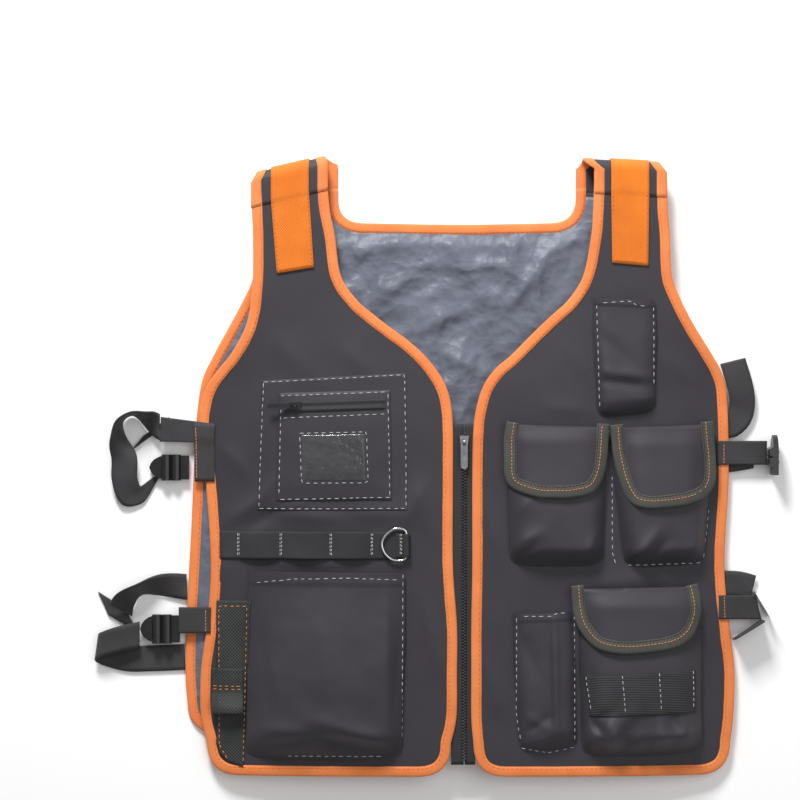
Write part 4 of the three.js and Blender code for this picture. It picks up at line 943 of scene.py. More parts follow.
RIGHT_CUT = Outline((
    (34, 11, 256), (60, 5.5, 262), (105, 5, 262), (150, 5, 256), (210, 9, 252), (290, 9, 257), (345, 9, 264),
    (372, 11, 262), (392, 17, 255), (408, 27, 243), (420, 37, 233), (434, 52, 224), (448, 71, 217),
    (462, 89, 213), (476, 105, 211), (500, 121, 209), (540, 127, 209), (565, 132, 210), (592, 134.5, 211),
), 0.0, 27.0, -1)
LEFT_CUT = Outline((
    (34, 11, 270), (60, 9, 273), (105, 9, 274), (150, 9, 269), (210, 10, 264), (290, 10, 268), (345, 11, 268),
    (372, 15, 267), (392, 22, 265), (408, 34, 259), (420, 48, 252), (434, 62, 243), (448, 76, 234),
    (462, 91, 226), (476, 106, 219), (500, 121, 210), (540, 129, 208), (565, 131, 206), (592, 132, 205),
), 0.0, 27.0, 1)
BACK_CUT = Outline((
    (72, 276, 255), (100, 278, 255), (154, 277, 255), (250, 272, 255), (340, 268, 255), (392, 262, 252),
    (420, 250, 246), (448, 235, 234), (476, 220, 221), (500, 210, 212), (540, 207, 205), (568, 207, 203),
    (589, 207, 203),
), 38.0, 34.0, 0)
NECK_LOW = 554.0
NECK_HIGH = 589
NECK_EDGES = (-124.5, 115.0)


@dataclass
class BackPanel:
    """The back, with its tape and its crumpled inner side."""

    step: float = 4.5
    lining_step: float = 3.4
    lining_base: float = 7.0
    lining_rim: float = 4.1
    lowest: float = 4.2
    front_room: float = 0.8
    neck_corner: float = 26.0
    seed: int = 23
    crease_count: int = 420
    crease_reach: float = 75.0
    lining_folds: tuple[Fold, ...] = (
        Fold(-118, 515, -40, 548, 11, 3.4), Fold(-95, 470, -30, 515, 9, 3.0),
        Fold(-20, 545, 30, 470, 12, 3.6), Fold(60, 540, 20, 440, 11, 3.2), Fold(95, 520, 45, 470, 8, 2.6),
        Fold(-60, 440, 10, 470, 9, 3.0), Fold(-15, 380, 5, 440, 9, 3.4), Fold(-75, 545, -85, 470, 8, 2.4),
        Fold(30, 400, -30, 430, 7, 2.2), Fold(110, 552, 70, 500, 7, 2.2),
        Fold(-15, 500, -60, 480, 6, -1.4), Fold(0, 520, 60, 500, 6, 1.8),
        Fold(-262, 300, -258, 380, 6, 1.6), Fold(-266, 150, -262, 230, 6, 1.5),
    )

    def __post_init__(self) -> None:
        """Draws the many small creases of the crumpled inside."""
        chance = random.Random(self.seed)
        self.creases: list[Fold] = []
        for _ in range(self.crease_count):
            x, y = chance.uniform(-275, 275), chance.uniform(40, 560)
            angle, long = chance.gauss(0.9, 0.9), chance.uniform(22, 72)
            high = chance.choice((-1, 1, 1)) * chance.uniform(1.0, 4.2)
            self.creases.append(Fold(x, y, x + long * math.cos(angle), y + long * math.sin(angle),
                                     chance.uniform(3.0, 8.0), high, 1.0))

    def edge_path(self) -> list[Point]:
        """Draws the outer edge from the right strap, round the hem, to the left strap."""
        return [*reversed(BACK_CUT.edge(1)[1:]), *BACK_CUT.hem_run(), *BACK_CUT.edge(2)[1:]]

    def neck_path(self) -> list[Point]:
        """Draws the neckline from the left strap to the right strap.

        Returns:
            Points along the neckline.
        """
        right, left = NECK_EDGES
        corner = self.neck_corner
        start = straight_through(((left, NECK_HIGH), (left, NECK_LOW + corner)))
        turn = rounded((left, NECK_LOW + corner), (left, NECK_LOW), (left - corner, NECK_LOW))
        bow = curve_through(((left - corner, NECK_LOW), (0, NECK_LOW - 1.5), (right + corner, NECK_LOW)))
        back = rounded((right + corner, NECK_LOW), (right, NECK_LOW), (right, NECK_LOW + corner))
        return [*start[:-1], *turn, *bow[1:-1], *back, *straight_through((back[-1], (right, NECK_HIGH)))[1:]]

    def build(self) -> None:
        """Builds the cloth, the tapes and the lining."""
        outline = [*self.edge_path(), *self.neck_path()]
        sheet = cut_sheet(shrunk(outline, CUT_INSET), self.step, lambda x, y: BACK_BASE + CLOTH)
        cloth = dress(sheet, "back_cloth", CHARCOAL, ["back_panel"], wall=CLOTH)
        outline_area(outline)
        tape = tape_round(self.edge_path(), back_middle, TAPE_WIDTH)
        dress(tape, "back_edge_tape", ORANGE_TAPE, ["back_binding"], wall=TAPE_WALL)
        neck = tape_round(self.neck_path(), back_middle, TAPE_WIDTH)
        dress(neck, "neck_tape", ORANGE_TAPE, ["neck_binding"], wall=TAPE_WALL)
        inner = shrunk(outline, TAPE_WIDTH - 2.0)
        sheet = cut_sheet(inner, self.lining_step, self.lining_height, self.lining_rim)
        lining = dress(sheet, "back_inside", LINING, ["back_lining"], wall=0.4)
        outline_area(inner)
        rows = Seam("back_tape_stitches", DEEP_THREAD, 3.4, 1.6, 0.32)
        for path in (self.edge_path(), self.neck_path()):
            rows.row(beside(path, TAPE_SEWN), lambda x, y: BACK_BASE + CLOTH / 2 + 1.75)
        rows.finished()

    def lining_height(self, x: float, y: float) -> float:
        """Finds the top of the crumpled lining.

        Args:
            x: Distance across.
            y: Distance up.

        Returns:
            The height in millimetres, which stays under the fronts.
        """
        reach = self.crease_reach
        near = [fold for fold in self.creases if abs(fold.x0 - x) < reach and abs(fold.y0 - y) < reach]
        lumps = 2.0 * ripple(x, y, 80, 1.0) - 2.4 * abs(ripple(x, y, 48, 4.0))
        high = self.lining_base + 1.4 * folds_at(self.lining_folds, x, y) + folds_at(near, x, y) + lumps
        return min(max(high, self.lowest), front_bed(x, y) - self.front_room)


def outline_area(outline: Sequence[Point]) -> float:
    """Works out the area in an outline, in square metres."""
    pairs = zip(outline, [*outline[1:], outline[0]])
    return abs(sum(a[0] * b[1] - b[0] * a[1] for a, b in pairs)) / 2 * MM * MM


@dataclass
class Shoulder:
    """A strap from the seam in front, over its fold, to the back, with its tapes and orange web."""

    name: str
    side: int
    front: Point
    fold: Point
    back: Point
    top: float
    slant: float
    web: float
    web_low: tuple[Point, Point]
    radius: float = (SHOULDER_HEIGHT + CLOTH - BACK_BASE) / 2
    seam_drop: float = 31.0
    back_end: float = 26.0
    proud: float = 0.45
    web_half: float = 19.0
    web_lift: float = 1.9
    web_front_rows: int = 18

    def spot(self, edge_share: float, shift: float, along: float, depth: float) -> Vector:
        """Finds a spot on the strap.

        Args:
            edge_share: 0 at the neck edge and 1 at the arm edge.
            shift: Distance from there towards the arm.
            along: Distance from the seam over the fold.
            depth: Distance below the outer face.

        Returns:
            The spot in millimetres.
        """
        flat = self.seam_drop - self.radius
        bend = math.pi * self.radius
        blend = min(max((along - flat) / bend, 0.0), 1.0)
        lift = math.sin(blend * math.pi)
        edges = [(a + (b - a) * blend) * (1 - lift) + f * lift
                 for a, b, f in zip(self.front, self.back, self.fold)]
        away = edges[0] + (edges[1] - edges[0]) * edge_share + shift
        crown = self.top + self.slant * (away - sum(self.fold) / 2)
        middle = BACK_BASE + self.radius
        reach = self.radius + self.proud - depth
        if along < flat:
            return Vector((self.side * away, crown - self.seam_drop + along, middle + reach))
        if along < flat + bend:
            angle = (along - flat) / self.radius
            y = crown - self.radius + math.sin(angle) * reach
            return Vector((self.side * away, y, middle + math.cos(angle) * reach))
        return Vector((self.side * away, crown - self.radius - (along - flat - bend), middle - reach))

    def stations(self) -> list[float]:
        """Lists the distances over the fold at which its rows stand.

        Returns:
            The distances from the seam in front, in order.
        """
        flat = self.seam_drop - self.radius
        bend = math.pi * self.radius
        rows = [flat * i / 5 for i in range(-1, 5)]
        rows += [flat + bend * i / 16 for i in range(17)]
        return rows + [flat + bend + self.back_end * i / 5 for i in range(1, 6)]

    def build(self) -> None:
        """Builds the strap, its two tapes and its web."""
        stations = self.stations()
        rows = len(stations) - 1

        def cloth(s: float, t: float) -> tuple[Vector, Point]:
            """Bends the strap's cloth."""
            along = stations[round(t * rows)]
            return self.spot(s, 4.0 - 8.0 * s, along, 0.0), (s * 76, along)

        bm = bend_grid(14, rows, cloth)
        self.outward(bm)
        dress(bm, f"shoulder_cloth_{self.name}", CHARCOAL, ["back_panel"], wall=CLOTH)
        for edge, node in ((0, "neck_binding"), (1, "back_binding")):
            self.tape(edge, node, stations)
        self.orange_web(stations)

    def outward(self, bm: bmesh.types.BMesh) -> None:
        """Turns a folded sheet so that it faces away from the middle of its fold.

        Args:
            bm: The sheet.
        """
        highest = max(bm.faces, key=lambda face: face.calc_center_median().z)
        if highest.normal.z < 0:
            bmesh.ops.reverse_faces(bm, faces=bm.faces[:])

    def tape(self, edge: int, node: str, stations: Sequence[float]) -> None:
        """Folds a tape round one edge of the strap.

        Args:
            edge: 0 for the neck edge and 1 for the arm edge.
            node: The solid that it replaces.
            stations: The distances over the fold at which its rows stand.
        """
        columns, rows = len(TAPE_SECTION) - 1, len(stations) - 1
        sign = 1 if edge == 0 else -1

        def place(s: float, t: float) -> tuple[Vector, Point]:
            """Folds the grid round the edge.

            Args:
                s: Share across.
                t: Share along.

            Returns:
                The spot and its thread coordinates.
            """
            i = round(s * columns)
            share, up = TAPE_SECTION[i]
            along = stations[round(t * rows)]
            return self.spot(edge, sign * share * TAPE_WIDTH, along, CLOTH / 2 - up), (i * 2, along)

        bm = bend_grid(columns, rows, place)
        self.outward(bm)
        word = "neck" if edge == 0 else "arm"
        dress(bm, f"shoulder_{word}_tape_{self.name}", ORANGE_TAPE, [node], wall=TAPE_WALL)

    def orange_web(self, stations: Sequence[float]) -> None:
        """Lays the orange web from its sewn end in front, over the fold, to the back.

        Args:
            stations: The distances over the fold at which its rows stand.
        """
        flat = [d for d in stations if d >= 0]
        low, front_rows, half, lift = self.web_low, self.web_front_rows, self.web_half, self.web_lift
        top = [self.spot(0.0, self.web - self.front[0] + side * half, 0.0, -lift) for side in (-1, 1)]
        rows = front_rows + len(flat) - 1

        def place(s: float, t: float) -> tuple[Vector, Point]:
            """Lays the web on the front and bends it over the fold.

            Args:
                s: Share across.
                t: Share along.

            Returns:
                The spot and its thread coordinates.
            """
            j = round(t * rows)
            if j < front_rows:
                share = j / front_rows
                foot = Vector(low[0]).lerp(Vector(low[1]), s)
                head = top[0].lerp(top[1], s)
                x = foot.x + (head.x - foot.x) * share
                y = foot.y + (head.y - foot.y) * share
                z = front_bed(x, y) + CLOTH + lift + 0.25 * ripple(x, y, 15, 3.0)
                return Vector((x, y, z)), (s * 38, y)
            along = flat[j - front_rows]
            away = self.web + (s - 0.5) * 2 * half
            blend = self.spot(0.0, 0.0, along, -lift)
            shift = away - self.side * blend.x
            spot = self.spot(0.0, shift, along, -lift)
            return spot, (s * 38, 590 + along)

        bm = bend_grid(12, rows, place)
        self.outward(bm)
        piece = dress(bm, f"orange_web_{self.name}", ORANGE_WEB, [f"shoulder_webbing_{self.name}"],
                      wall=WEB_WALL)
        GROUND.add(piece)
        seam = Seam(f"web_stitches_{self.name}", DEEP_THREAD, 3.0, 1.4, 0.4)
        a, b = Vector(low[0]), Vector(low[1])
        rise = Vector((0, 3.0))
        seam.row([tuple(a.lerp(b, 0.06) + rise), tuple(a.lerp(b, 0.94) + rise)], on_ground)
        for share in (0.05, 0.95):
            foot = Vector(low[0]).lerp(Vector(low[1]), share)
            head = top[0].lerp(top[1], share).to_2d()
            seam.row([tuple(foot), tuple(head)], on_ground)
        seam.finished()


SHOULDERS = (
    Shoulder("right", -1, (134, 211), (137, 206), (124.5, 207), 612.0, -0.23, 172.0,
             ((-148, 508.5), (-185, 502.5))),
    Shoulder("left", 1, (132, 205), (121, 198), (115, 203), 615.8, -0.052, 168.0,
             ((150, 513.0), (186, 510.0))),
)


@dataclass
class FrontPanel:
    """One front with the tape round its edge."""

    name: str
    cut: Outline
    folds: tuple[Fold, ...]
    step: float = 4.0

    def path(self) -> list[Point]:
        """Draws the edge with the cloth on its left, from seam to seam round the hem.

        Returns:
            Points along the edge.
        """
        inner, outer = self.cut.edge(1), self.cut.edge(2)
        down, up = (outer, inner) if self.cut.side < 0 else (inner, outer)
        return [*reversed(down[1:]), *self.cut.hem_run(), *up[1:]]

    def height(self, x: float, y: float) -> float:
        """Finds the top of the cloth, with its folds and its small unevenness.

        Args:
            x: Distance across.
            y: Distance up.

        Returns:
            The height in millimetres.
        """
        waves = 0.55 * ripple(x, y, 60, 11.0) + 0.3 * ripple(x, y, 26, 15.0)
        inner = 1.0 - smooth(0.74 * FRONT_LENGTH, 0.86 * FRONT_LENGTH, y)
        return front_bed(x, y) + CLOTH + (folds_at(self.folds, x, y) + waves) * (0.35 + 0.65 * inner)

    def build(self) -> None:
        """Builds the cloth and its tape."""
        path = self.path()
        sheet = cut_sheet(shrunk(path, CUT_INSET), self.step, self.height)
        cloth = dress(sheet, f"front_cloth_{self.name}", CHARCOAL, [f"front_panel_{self.name}"], wall=CLOTH)
        outline_area(path)
        GROUND.add(cloth)
        tape = dress(tape_round(path, front_middle, TAPE_WIDTH), f"front_tape_{self.name}", ORANGE_TAPE,
                     [f"front_binding_{self.name}"], wall=TAPE_WALL)
        GROUND.add(tape)
        seam = Seam(f"front_tape_stitches_{self.name}", DEEP_THREAD, 3.4, 1.6, 0.32)
        seam.row(beside(path, TAPE_SEWN), lambda x, y: front_middle(x, y) + 1.7)
        seam.finished()


FRONTS = (
    FrontPanel("right", RIGHT_CUT, (
        Fold(-236, 252, -200, 280, 8, 3.6), Fold(-214, 248, -180, 268, 7, -3.0),
        Fold(-185, 262, -120, 258, 7, 2.4), Fold(-110, 262, -60, 262, 9, 2.2),
        Fold(-60, 250, -40, 290, 9, 3.0), Fold(-180, 214, -110, 212, 6, 1.8),
        Fold(-240, 330, -215, 300, 9, 2.0), Fold(-45, 300, -30, 240, 8, 2.0),
        Fold(-120, 430, -90, 400, 12, 1.6), Fold(-190, 440, -150, 400, 14, 1.5),
        Fold(-40, 180, -20, 100, 8, 2.0), Fold(-240, 190, -225, 240, 7, 1.8),
    )),
    FrontPanel("left", LEFT_CUT, (
        Fold(25, 270, 40, 210, 8, 2.0), Fold(20, 120, 40, 60, 8, 2.2), Fold(200, 420, 240, 390, 12, 2.0),
        Fold(100, 440, 125, 400, 12, 1.6), Fold(110, 190, 220, 200, 9, 2.0),
        Fold(240, 180, 250, 120, 8, 2.2), Fold(80, 370, 130, 365, 9, 1.6),
        Fold(215, 240, 250, 215, 8, 1.8),
    )),
)


@dataclass
class CentreZip:
    """The centre zip: two tapes, single teeth, and the slider and pull of the frame."""

    low: float = 12.0
    high: float = 352.0
    teeth_low: float = 16.0
    pitch: float = 3.0
    tooth: tuple[float, float, float] = (2.7, 1.35, 1.5)
    tooth_reach: float = 1.05

    def bed(self, x: float, y: float) -> float:
        """Finds the top of the zip tapes."""
        return front_bed(x, y) - 0.3

    def build(self) -> None:
        """Builds the tapes and the teeth."""
        for name, left, right in (("right", -11.0, 1.6), ("left", 2.4, 13.0)):
            def place(s: float, t: float) -> tuple[Vector, Point]:
                """Lays one tape."""
                x, y = left + (right - left) * s, self.low + (self.high - self.low) * t
                return Vector((x, y, self.bed(x, y))), (x, y)

            bm = bend_grid(4, 90, place)
            face_up(bm)
            GROUND.add(dress(bm, f"zip_cloth_{name}", ZIP_TAPE, [f"zip_tape_{name}"], wall=0.6))
        self.teeth()
        for node in ("zip_slider", "zip_pull"):
            coat(node, ZIP_METAL)

    def teeth(self) -> None:
        """Builds the two rows of teeth that mesh."""
        bm = bmesh.new()
        count = int((self.high - 8 - self.teeth_low) / self.pitch)
        for i in range(count):
            for side in (-1, 1):
                x = ZIP_CENTRE + side * self.tooth_reach
                y = self.teeth_low + (i + 0.25 * side + 0.5) * self.pitch
                size = Matrix.Diagonal((*(side_length * MM for side_length in self.tooth), 1))
                spot = PLAN.metres(Vector((x, y, self.bed(x, y) + 1.0)))
                bmesh.ops.create_cube(bm, size=1.0, matrix=Matrix.Translation(spot) @ size)
        bmesh.ops.bevel(bm, geom=bm.edges[:], offset=0.25 * MM, segments=1, affect="EDGES", profile=0.5,
                        material=-1)
        dress(bm, "zip_tooth_rows", DARK_METAL, ["zip_teeth"], shade_smooth=False)


def coat(node: str, finish: Finish) -> None:
    """Gives a solid of the frame a new surface.

    Args:
        node: The solid's name.
        finish: Its new surface.
    """
    solid = bpy.data.objects[node]
    solid.data.materials.clear()
    solid.data.materials.append(finish.material())
    log.info("%s: new surface", node)


def in_quad(corners: Sequence[Point], s: float, t: float) -> Point:
    """Finds a point in a four-sided patch, whose corners run anticlockwise from its lower left."""
    a, b, c, d = (Vector(p) for p in corners)
    return tuple(a.lerp(b, s).lerp(d.lerp(c, s), t))


def domed(share: float, power: int) -> float:
    """Rises from 0 at both ends of a share to 1 at its middle."""
    return 1 - abs(2 * share - 1) ** power


def bunched(share: float) -> float:
    """Draws the lines of a grid together towards its edges."""
    return 0.5 - 0.5 * math.cos(math.pi * share)


@dataclass
class Pouch:
    """A patch pocket that stands off the front, open at its top."""

    name: str
    node: str
    corners: tuple[Point, Point, Point, Point]
    depth: float
    mouth: float
    folds: tuple[Fold, ...] = ()
    hem: float = 11.0
    hem_rise: float = 0.9
    gather: float = 0.0
    waves: int = 7
    round: float = 8.0
    columns: int = 56
    rows: int = 64

    def form(self, s: float, t: float) -> float:
        """Finds how far the plain pocket stands off, without its folds or its sewn foot.

        Args:
            s: Share across.
            t: Share along.

        Returns:
            The distance in millimetres.
        """
        slope = self.depth + (self.mouth - self.depth) * smooth(0.35, 1.0, t)
        return slope * (0.22 + 0.78 * domed(s, 5))

    def body(self, s: float, t: float, x: float, y: float) -> float:
        """Finds how far the pocket stands off the front.

        Args:
            s: Share across.
            t: Share along.
            x: Distance across.
            y: Distance up.

        Returns:
            The distance in millimetres.
        """
        foot = smooth(0.0, 0.16, t) ** 0.6
        rise = self.form(s, t) * foot
        edge = min(1.0, 6 * min(s, 1 - s) + 0.25) * foot
        rise += folds_at(self.folds, x, y) * edge
        rise += (0.9 * ripple(x, y, 34, 21.0) + 0.4 * ripple(x, y, 15, 25.0)) * edge
        rise += self.gather * math.sin(s * self.waves * 2 * math.pi + 2 * t) * smooth(0.45, 0.08, t) * foot
        if t > 1 - self.hem / POCKET_HEIGHT:
            rise += self.hem_rise
        return max(rise, 0.2)

    def build(self) -> None:
        """Builds the pocket's cloth."""

        def place(s: float, t: float) -> tuple[Vector, Point]:
            """Bends the grid to the pocket.

            Args:
                s: Share across.
                t: Share along.

            Returns:
                The spot and its thread coordinates.
            """
            s, t = bunched(s), bunched(t)
            x, y = in_quad(self.corners, s, t)
            y += self.round * abs(2 * s - 1) ** 7 * max(0.0, 1 - 3 * t) ** 2
            tuck = 0.8 * math.sin(7 * t + 3 * s) * (abs(2 * s - 1) ** 4)
            z = front_bed(x, y) + CLOTH + POCKET_LIFT + self.body(s, t, x, y)
            return Vector((x + tuck, y, z)), (x, y)

        bm = bend_grid(self.columns, self.rows, place)
        face_up(bm)
        GROUND.add(dress(bm, self.name, CHARCOAL, [self.node], wall=POCKET_WALL))


@dataclass
class Flap:
    """A pocket's flap with its tape, laid over the pocket."""

    name: str
    node: str
    outline: tuple[Point, ...]
    over: Pouch
    lift: float
    width: float = 12.5
    hang: float = 22.0
    span: float = 7.0

    def middle(self, x: float, y: float) -> float:
        """Finds the middle of the flap's cloth.

        Args:
            x: Distance across.
            y: Distance up.

        Returns:
            The height in millimetres.
        """
        span = self.span
        places = ((0, 0), (span, 0), (-span, 0), (0, span), (0, -span))
        held = [self.under(x + dx, y + dy) for dx, dy in places]
        top = self.outline[0][1]
        hang = smooth(top, top - self.hang, y)
        ease = 0.5 * ripple(x, y, 28, 31.0)
        return sum(held) / len(held) * hang + (front_bed(x, y) + CLOTH + 5) * (1 - hang) + self.lift + ease

    def under(self, x: float, y: float) -> float:
        """Finds the top of the smooth pocket below.

        Args:
            x: Distance across.
            y: Distance up.

        Returns:
            The height in millimetres.
        """
        a, b, c, d = self.over.corners
        s = min(max((x - a[0]) / (b[0] - a[0]), 0.0), 1.0)
        t = min(max((y - a[1]) / (d[1] - a[1]), 0.0), 1.0)
        return front_bed(x, y) + CLOTH + 1.0 + self.over.form(s, t)

    def path(self) -> list[Point]:
        """Draws the flap's edge from its top left, down and round to its top right."""
        return curve_through(self.outline, 3.0)

    def build(self) -> None:
        """Builds the flap's cloth, tape and stitches."""
        path = self.path()
        cloth = cut_sheet(shrunk(path, 3.0), 3.0, lambda x, y: self.middle(x, y) + CLOTH / 2)
        GROUND.add(dress(cloth, self.name, CHARCOAL, [self.node], wall=CLOTH))
        tape = tape_round(path, self.middle, self.width, wobble=0.5)
        GROUND.add(dress(tape, f"{self.name}_tape", FLAP_TAPE, [f"{self.node}_binding"], wall=TAPE_WALL))
        seam = Seam(f"{self.name}_stitches", ORANGE_THREAD, 2.6, 0.9, 0.4)
        dark = Seam(f"{self.name}_inner_stitches", ZIP_TAPE, 2.6, 0.9, 0.4)
        for row, share in ((seam, 0.6), (dark, 0.9)):
            row.row([tuple(Vector(p) + n * share * self.width) for p, n in zip(path, inward(path, False))],
                    on_ground)
            row.finished()


def from_photo(*points: Point) -> tuple[Point, ...]:
    """Turns points measured across and down the view into the vest's own X and Y."""
    return tuple((u - 462.0, 776.0 - v) for u, v in points)


CARGO = Pouch("cargo_pouch", "cargo_pocket", from_photo((246, 759), (402, 759), (405, 572), (249, 571)), 22,
              11, (
    Fold(-150, 42, -64, 20, 8, -9.0, 1.7), Fold(-152, 60, -62, 34, 9, 4.5),
    Fold(-205, 170, -192, 60, 12, -3.5), Fold(-76, 190, -72, 40, 8, 3.5),
    Fold(-150, 190, -130, 70, 26, 3.0), Fold(-204, 50, -150, 46, 10, 3.5),
    Fold(-200, 30, -150, 40, 8, -4.0), Fold(-62, 150, -66, 60, 5, -3.0), Fold(-190, 120, -184, 70, 5, 2.0),
), hem=12)
PEN = Pouch("pen_pouch", "pen_pocket", from_photo((597, 419), (656, 413), (655, 301), (593, 298)), 12, 8, (
    Fold(132, 396, 190, 389, 5, -3.0), Fold(134, 404, 188, 399, 5, 2.8), Fold(135, 364, 190, 362, 5, 3.0),
    Fold(140, 440, 170, 410, 8, -2.0),
), hem=9, columns=40, rows=56)
INNER = Pouch("upper_inner_pouch", "upper_inner_pocket",
              from_photo((510, 566), (603, 566), (605, 436), (507, 436)),
              19, 11, (
    Fold(50, 232, 80, 246, 7, 3.5), Fold(62, 216, 100, 214, 6, -2.6), Fold(52, 262, 70, 280, 8, 2.5),
    Fold(120, 220, 138, 250, 7, 2.5), Fold(58, 222, 74, 232, 5, -2.5),
), hem=0)
OUTER = Pouch("upper_outer_pouch", "upper_outer_pocket",
              from_photo((624, 568), (705, 565), (712, 436), (611, 436)),
              19, 11, (
    Fold(164, 210, 196, 248, 7, 5.0, 1.6), Fold(174, 206, 204, 236, 6, -4.0),
    Fold(152, 225, 160, 270, 6, -2.5), Fold(225, 215, 240, 250, 7, 2.4),
), hem=0)
LOWER = Pouch("lower_pouch", "lower_pocket", from_photo((582, 757), (703, 754), (700, 596), (580, 598)), 22,
              14, (
    Fold(128, 58, 140, 44, 4, -7.0), Fold(132, 62, 150, 66, 4, -4.5), Fold(128, 36, 146, 56, 6, 5.0),
    Fold(140, 30, 160, 62, 9, 5.5), Fold(172, 60, 164, 30, 7, -4.0), Fold(186, 40, 232, 46, 12, 5.0),
    Fold(130, 26, 144, 30, 6, -4.0), Fold(206, 62, 218, 44, 6, -3.0), Fold(230, 30, 238, 60, 6, 3.5),
    Fold(126, 70, 128, 110, 5, -3.0),
), hem=0, gather=1.6, waves=5)
NARROW = Pouch("narrow_pouch", "narrow_pocket", from_photo((519, 752), (577, 748), (571, 611), (513, 613)),
               12, 8, (
    Fold(93, 44, 91, 158, 4, 3.6), Fold(87, 50, 86, 150, 4, -2.4), Fold(59, 32, 91, 41, 4, 4.0),
    Fold(62, 44, 88, 62, 5, -3.4), Fold(64, 62, 88, 48, 5, 2.6), Fold(84, 24, 92, 40, 4, -4.0),
    Fold(60, 140, 78, 96, 9, -2.4), Fold(58, 28, 84, 26, 4, -2.5),
), hem=9, columns=40, rows=56)

FLAP_A = Flap("upper_inner_flap_cloth", "upper_inner_flap", from_photo(
    (506, 421), (503.4, 438), (503.4, 453.6), (504.3, 476), (512, 488), (534.5, 495.8), (551, 497),
    (569, 496.6),
    (591, 491.5), (601.6, 477.7), (606, 458.7), (608.5, 424)), INNER, 4.2)
FLAP_B = Flap("upper_outer_flap_cloth", "upper_outer_flap", from_photo(
    (609.3, 425), (612, 455), (618.8, 482.9), (627.4, 500), (637.8, 506), (655, 507.3), (686, 503.5),
    (706.6, 494.9), (715.2, 481.2), (716, 458.7), (714, 438), (712.7, 421)), OUTER, 5.2)
FLAP_C = Flap("lower_flap_cloth", "lower_flap", from_photo(
    (570, 585), (572.9, 613.6), (580, 631.4), (594.3, 645.7), (615.7, 651), (640.7, 650.7), (672.9, 645.7),
    (690.7, 635), (699.6, 617), (700.5, 601), (697, 583)), LOWER, 4.4)


def flat_patch(name: str, finish: Finish, corners: Sequence[Point], thick: float, node: str,
               size: tuple[int, int], extra: Lift, wall: float = 0.8) -> None:
    """Lays a four-sided patch on what is already there.

    Args:
        name: The piece's name.
        finish: Its surface.
        corners: Its corners, anticlockwise from its lower left.
        thick: Height of its top over the ground.
        node: The solid that it replaces.
        size: Steps across and up.
        extra: Height added at two shares and a point.
        wall: Thickness of its wall.
    """

    def place(s: float, t: float) -> tuple[Vector, Point]:
        """Lays the grid on the ground.

        Args:
            s: Share across.
            t: Share along.

        Returns:
            The spot and its thread coordinates.
        """
        s, t = bunched(s), bunched(t)
        x, y = in_quad(corners, s, t)
        rim = min(1.0, 30 * min(s, 1 - s, t, 1 - t) + 0.45)
        z = GROUND.height(x, y) + thick * rim
        return Vector((x, y, z + extra(s, t, x, y))), (x, y)

    bm = bend_grid(*size, place)
    face_up(bm)
    GROUND.add(dress(bm, name, finish, [node], wall=wall))


@dataclass
class IdentityPocket:
    """The zipped pocket with a clear window on the wearer's right."""

    def build(self) -> None:
        """Builds the patch, the pocket, the window, the zip and the stitches."""
        patch = from_photo((257, 510), (407, 510), (406, 373), (262, 380.5))
        folds = (Fold(-200, 276, -185, 300, 5, 1.2), Fold(-185, 268, -150, 275, 5, 1.0))
        flat_patch("identity_patch", CHARCOAL, patch, 1.3, "id_patch", (50, 46),
                   lambda s, t, x, y: folds_at(folds, x, y))
        pocket = from_photo((276, 501), (392, 499.5), (390.5, 390), (279, 393))
        flat_patch("identity_pouch", CHARCOAL, pocket, 1.7, "id_pocket", (46, 44),
                   lambda s, t, x, y: 2.0 * domed(s, 4) * domed(t, 4)
                   + 0.5 * ripple(x, y, 22, 41.0))
        slot = from_photo((284.5, 412.5), (385, 409), (385, 398.5), (284.7, 401.5))
        flat_patch("pocket_zip_cloth", ZIP_TAPE, slot, 0.9, "pocket_zip_tape", (60, 12),
                   lambda s, t, x, y: 1.1 * math.exp(-((abs(2 * t - 1) - 0.62) / 0.28) ** 2), 0.5)
        coat("pocket_zip_teeth", DARK_METAL)
        coat("pocket_zip_slider", PLASTIC)
        coat("pocket_zip_pull", PLASTIC)
        film = from_photo((302.5, 480.5), (365.5, 480.5), (364.5, 434), (301.5, 435))
        flat_patch("window_film", FILM, film, 0.7, "id_window", (60, 48),
                   lambda s, t, x, y: 0.8 * domed(s, 6) * domed(t, 6)
                   * (0.6 + 0.7 * abs(ripple(x, y, 12, 51.0)) + 0.5 * abs(ripple(x, y, 6, 53.0))), 0.25)
        seam = Seam("identity_stitches", GREY_THREAD)
        for path in (((263.6, 382.3), (334, 378.8), (404.5, 374.8), (405.8, 440), (406, 508), (330, 508.6),
                      (258.7, 508.7), (261, 440), (263.6, 382.3)),
                     ((281, 396), (388, 392)), ((388, 394), (390, 497)), ((390, 497), (279, 499.4)),
                     ((281, 410), (279, 495)), ((284, 418), (386, 414)),
                     ((299.9, 433.3), (366.6, 431.7), (368.2, 482.6), (302, 483), (299.9, 433.3))):
            seam.row(from_photo(*path), on_ground)
        seam.finished()


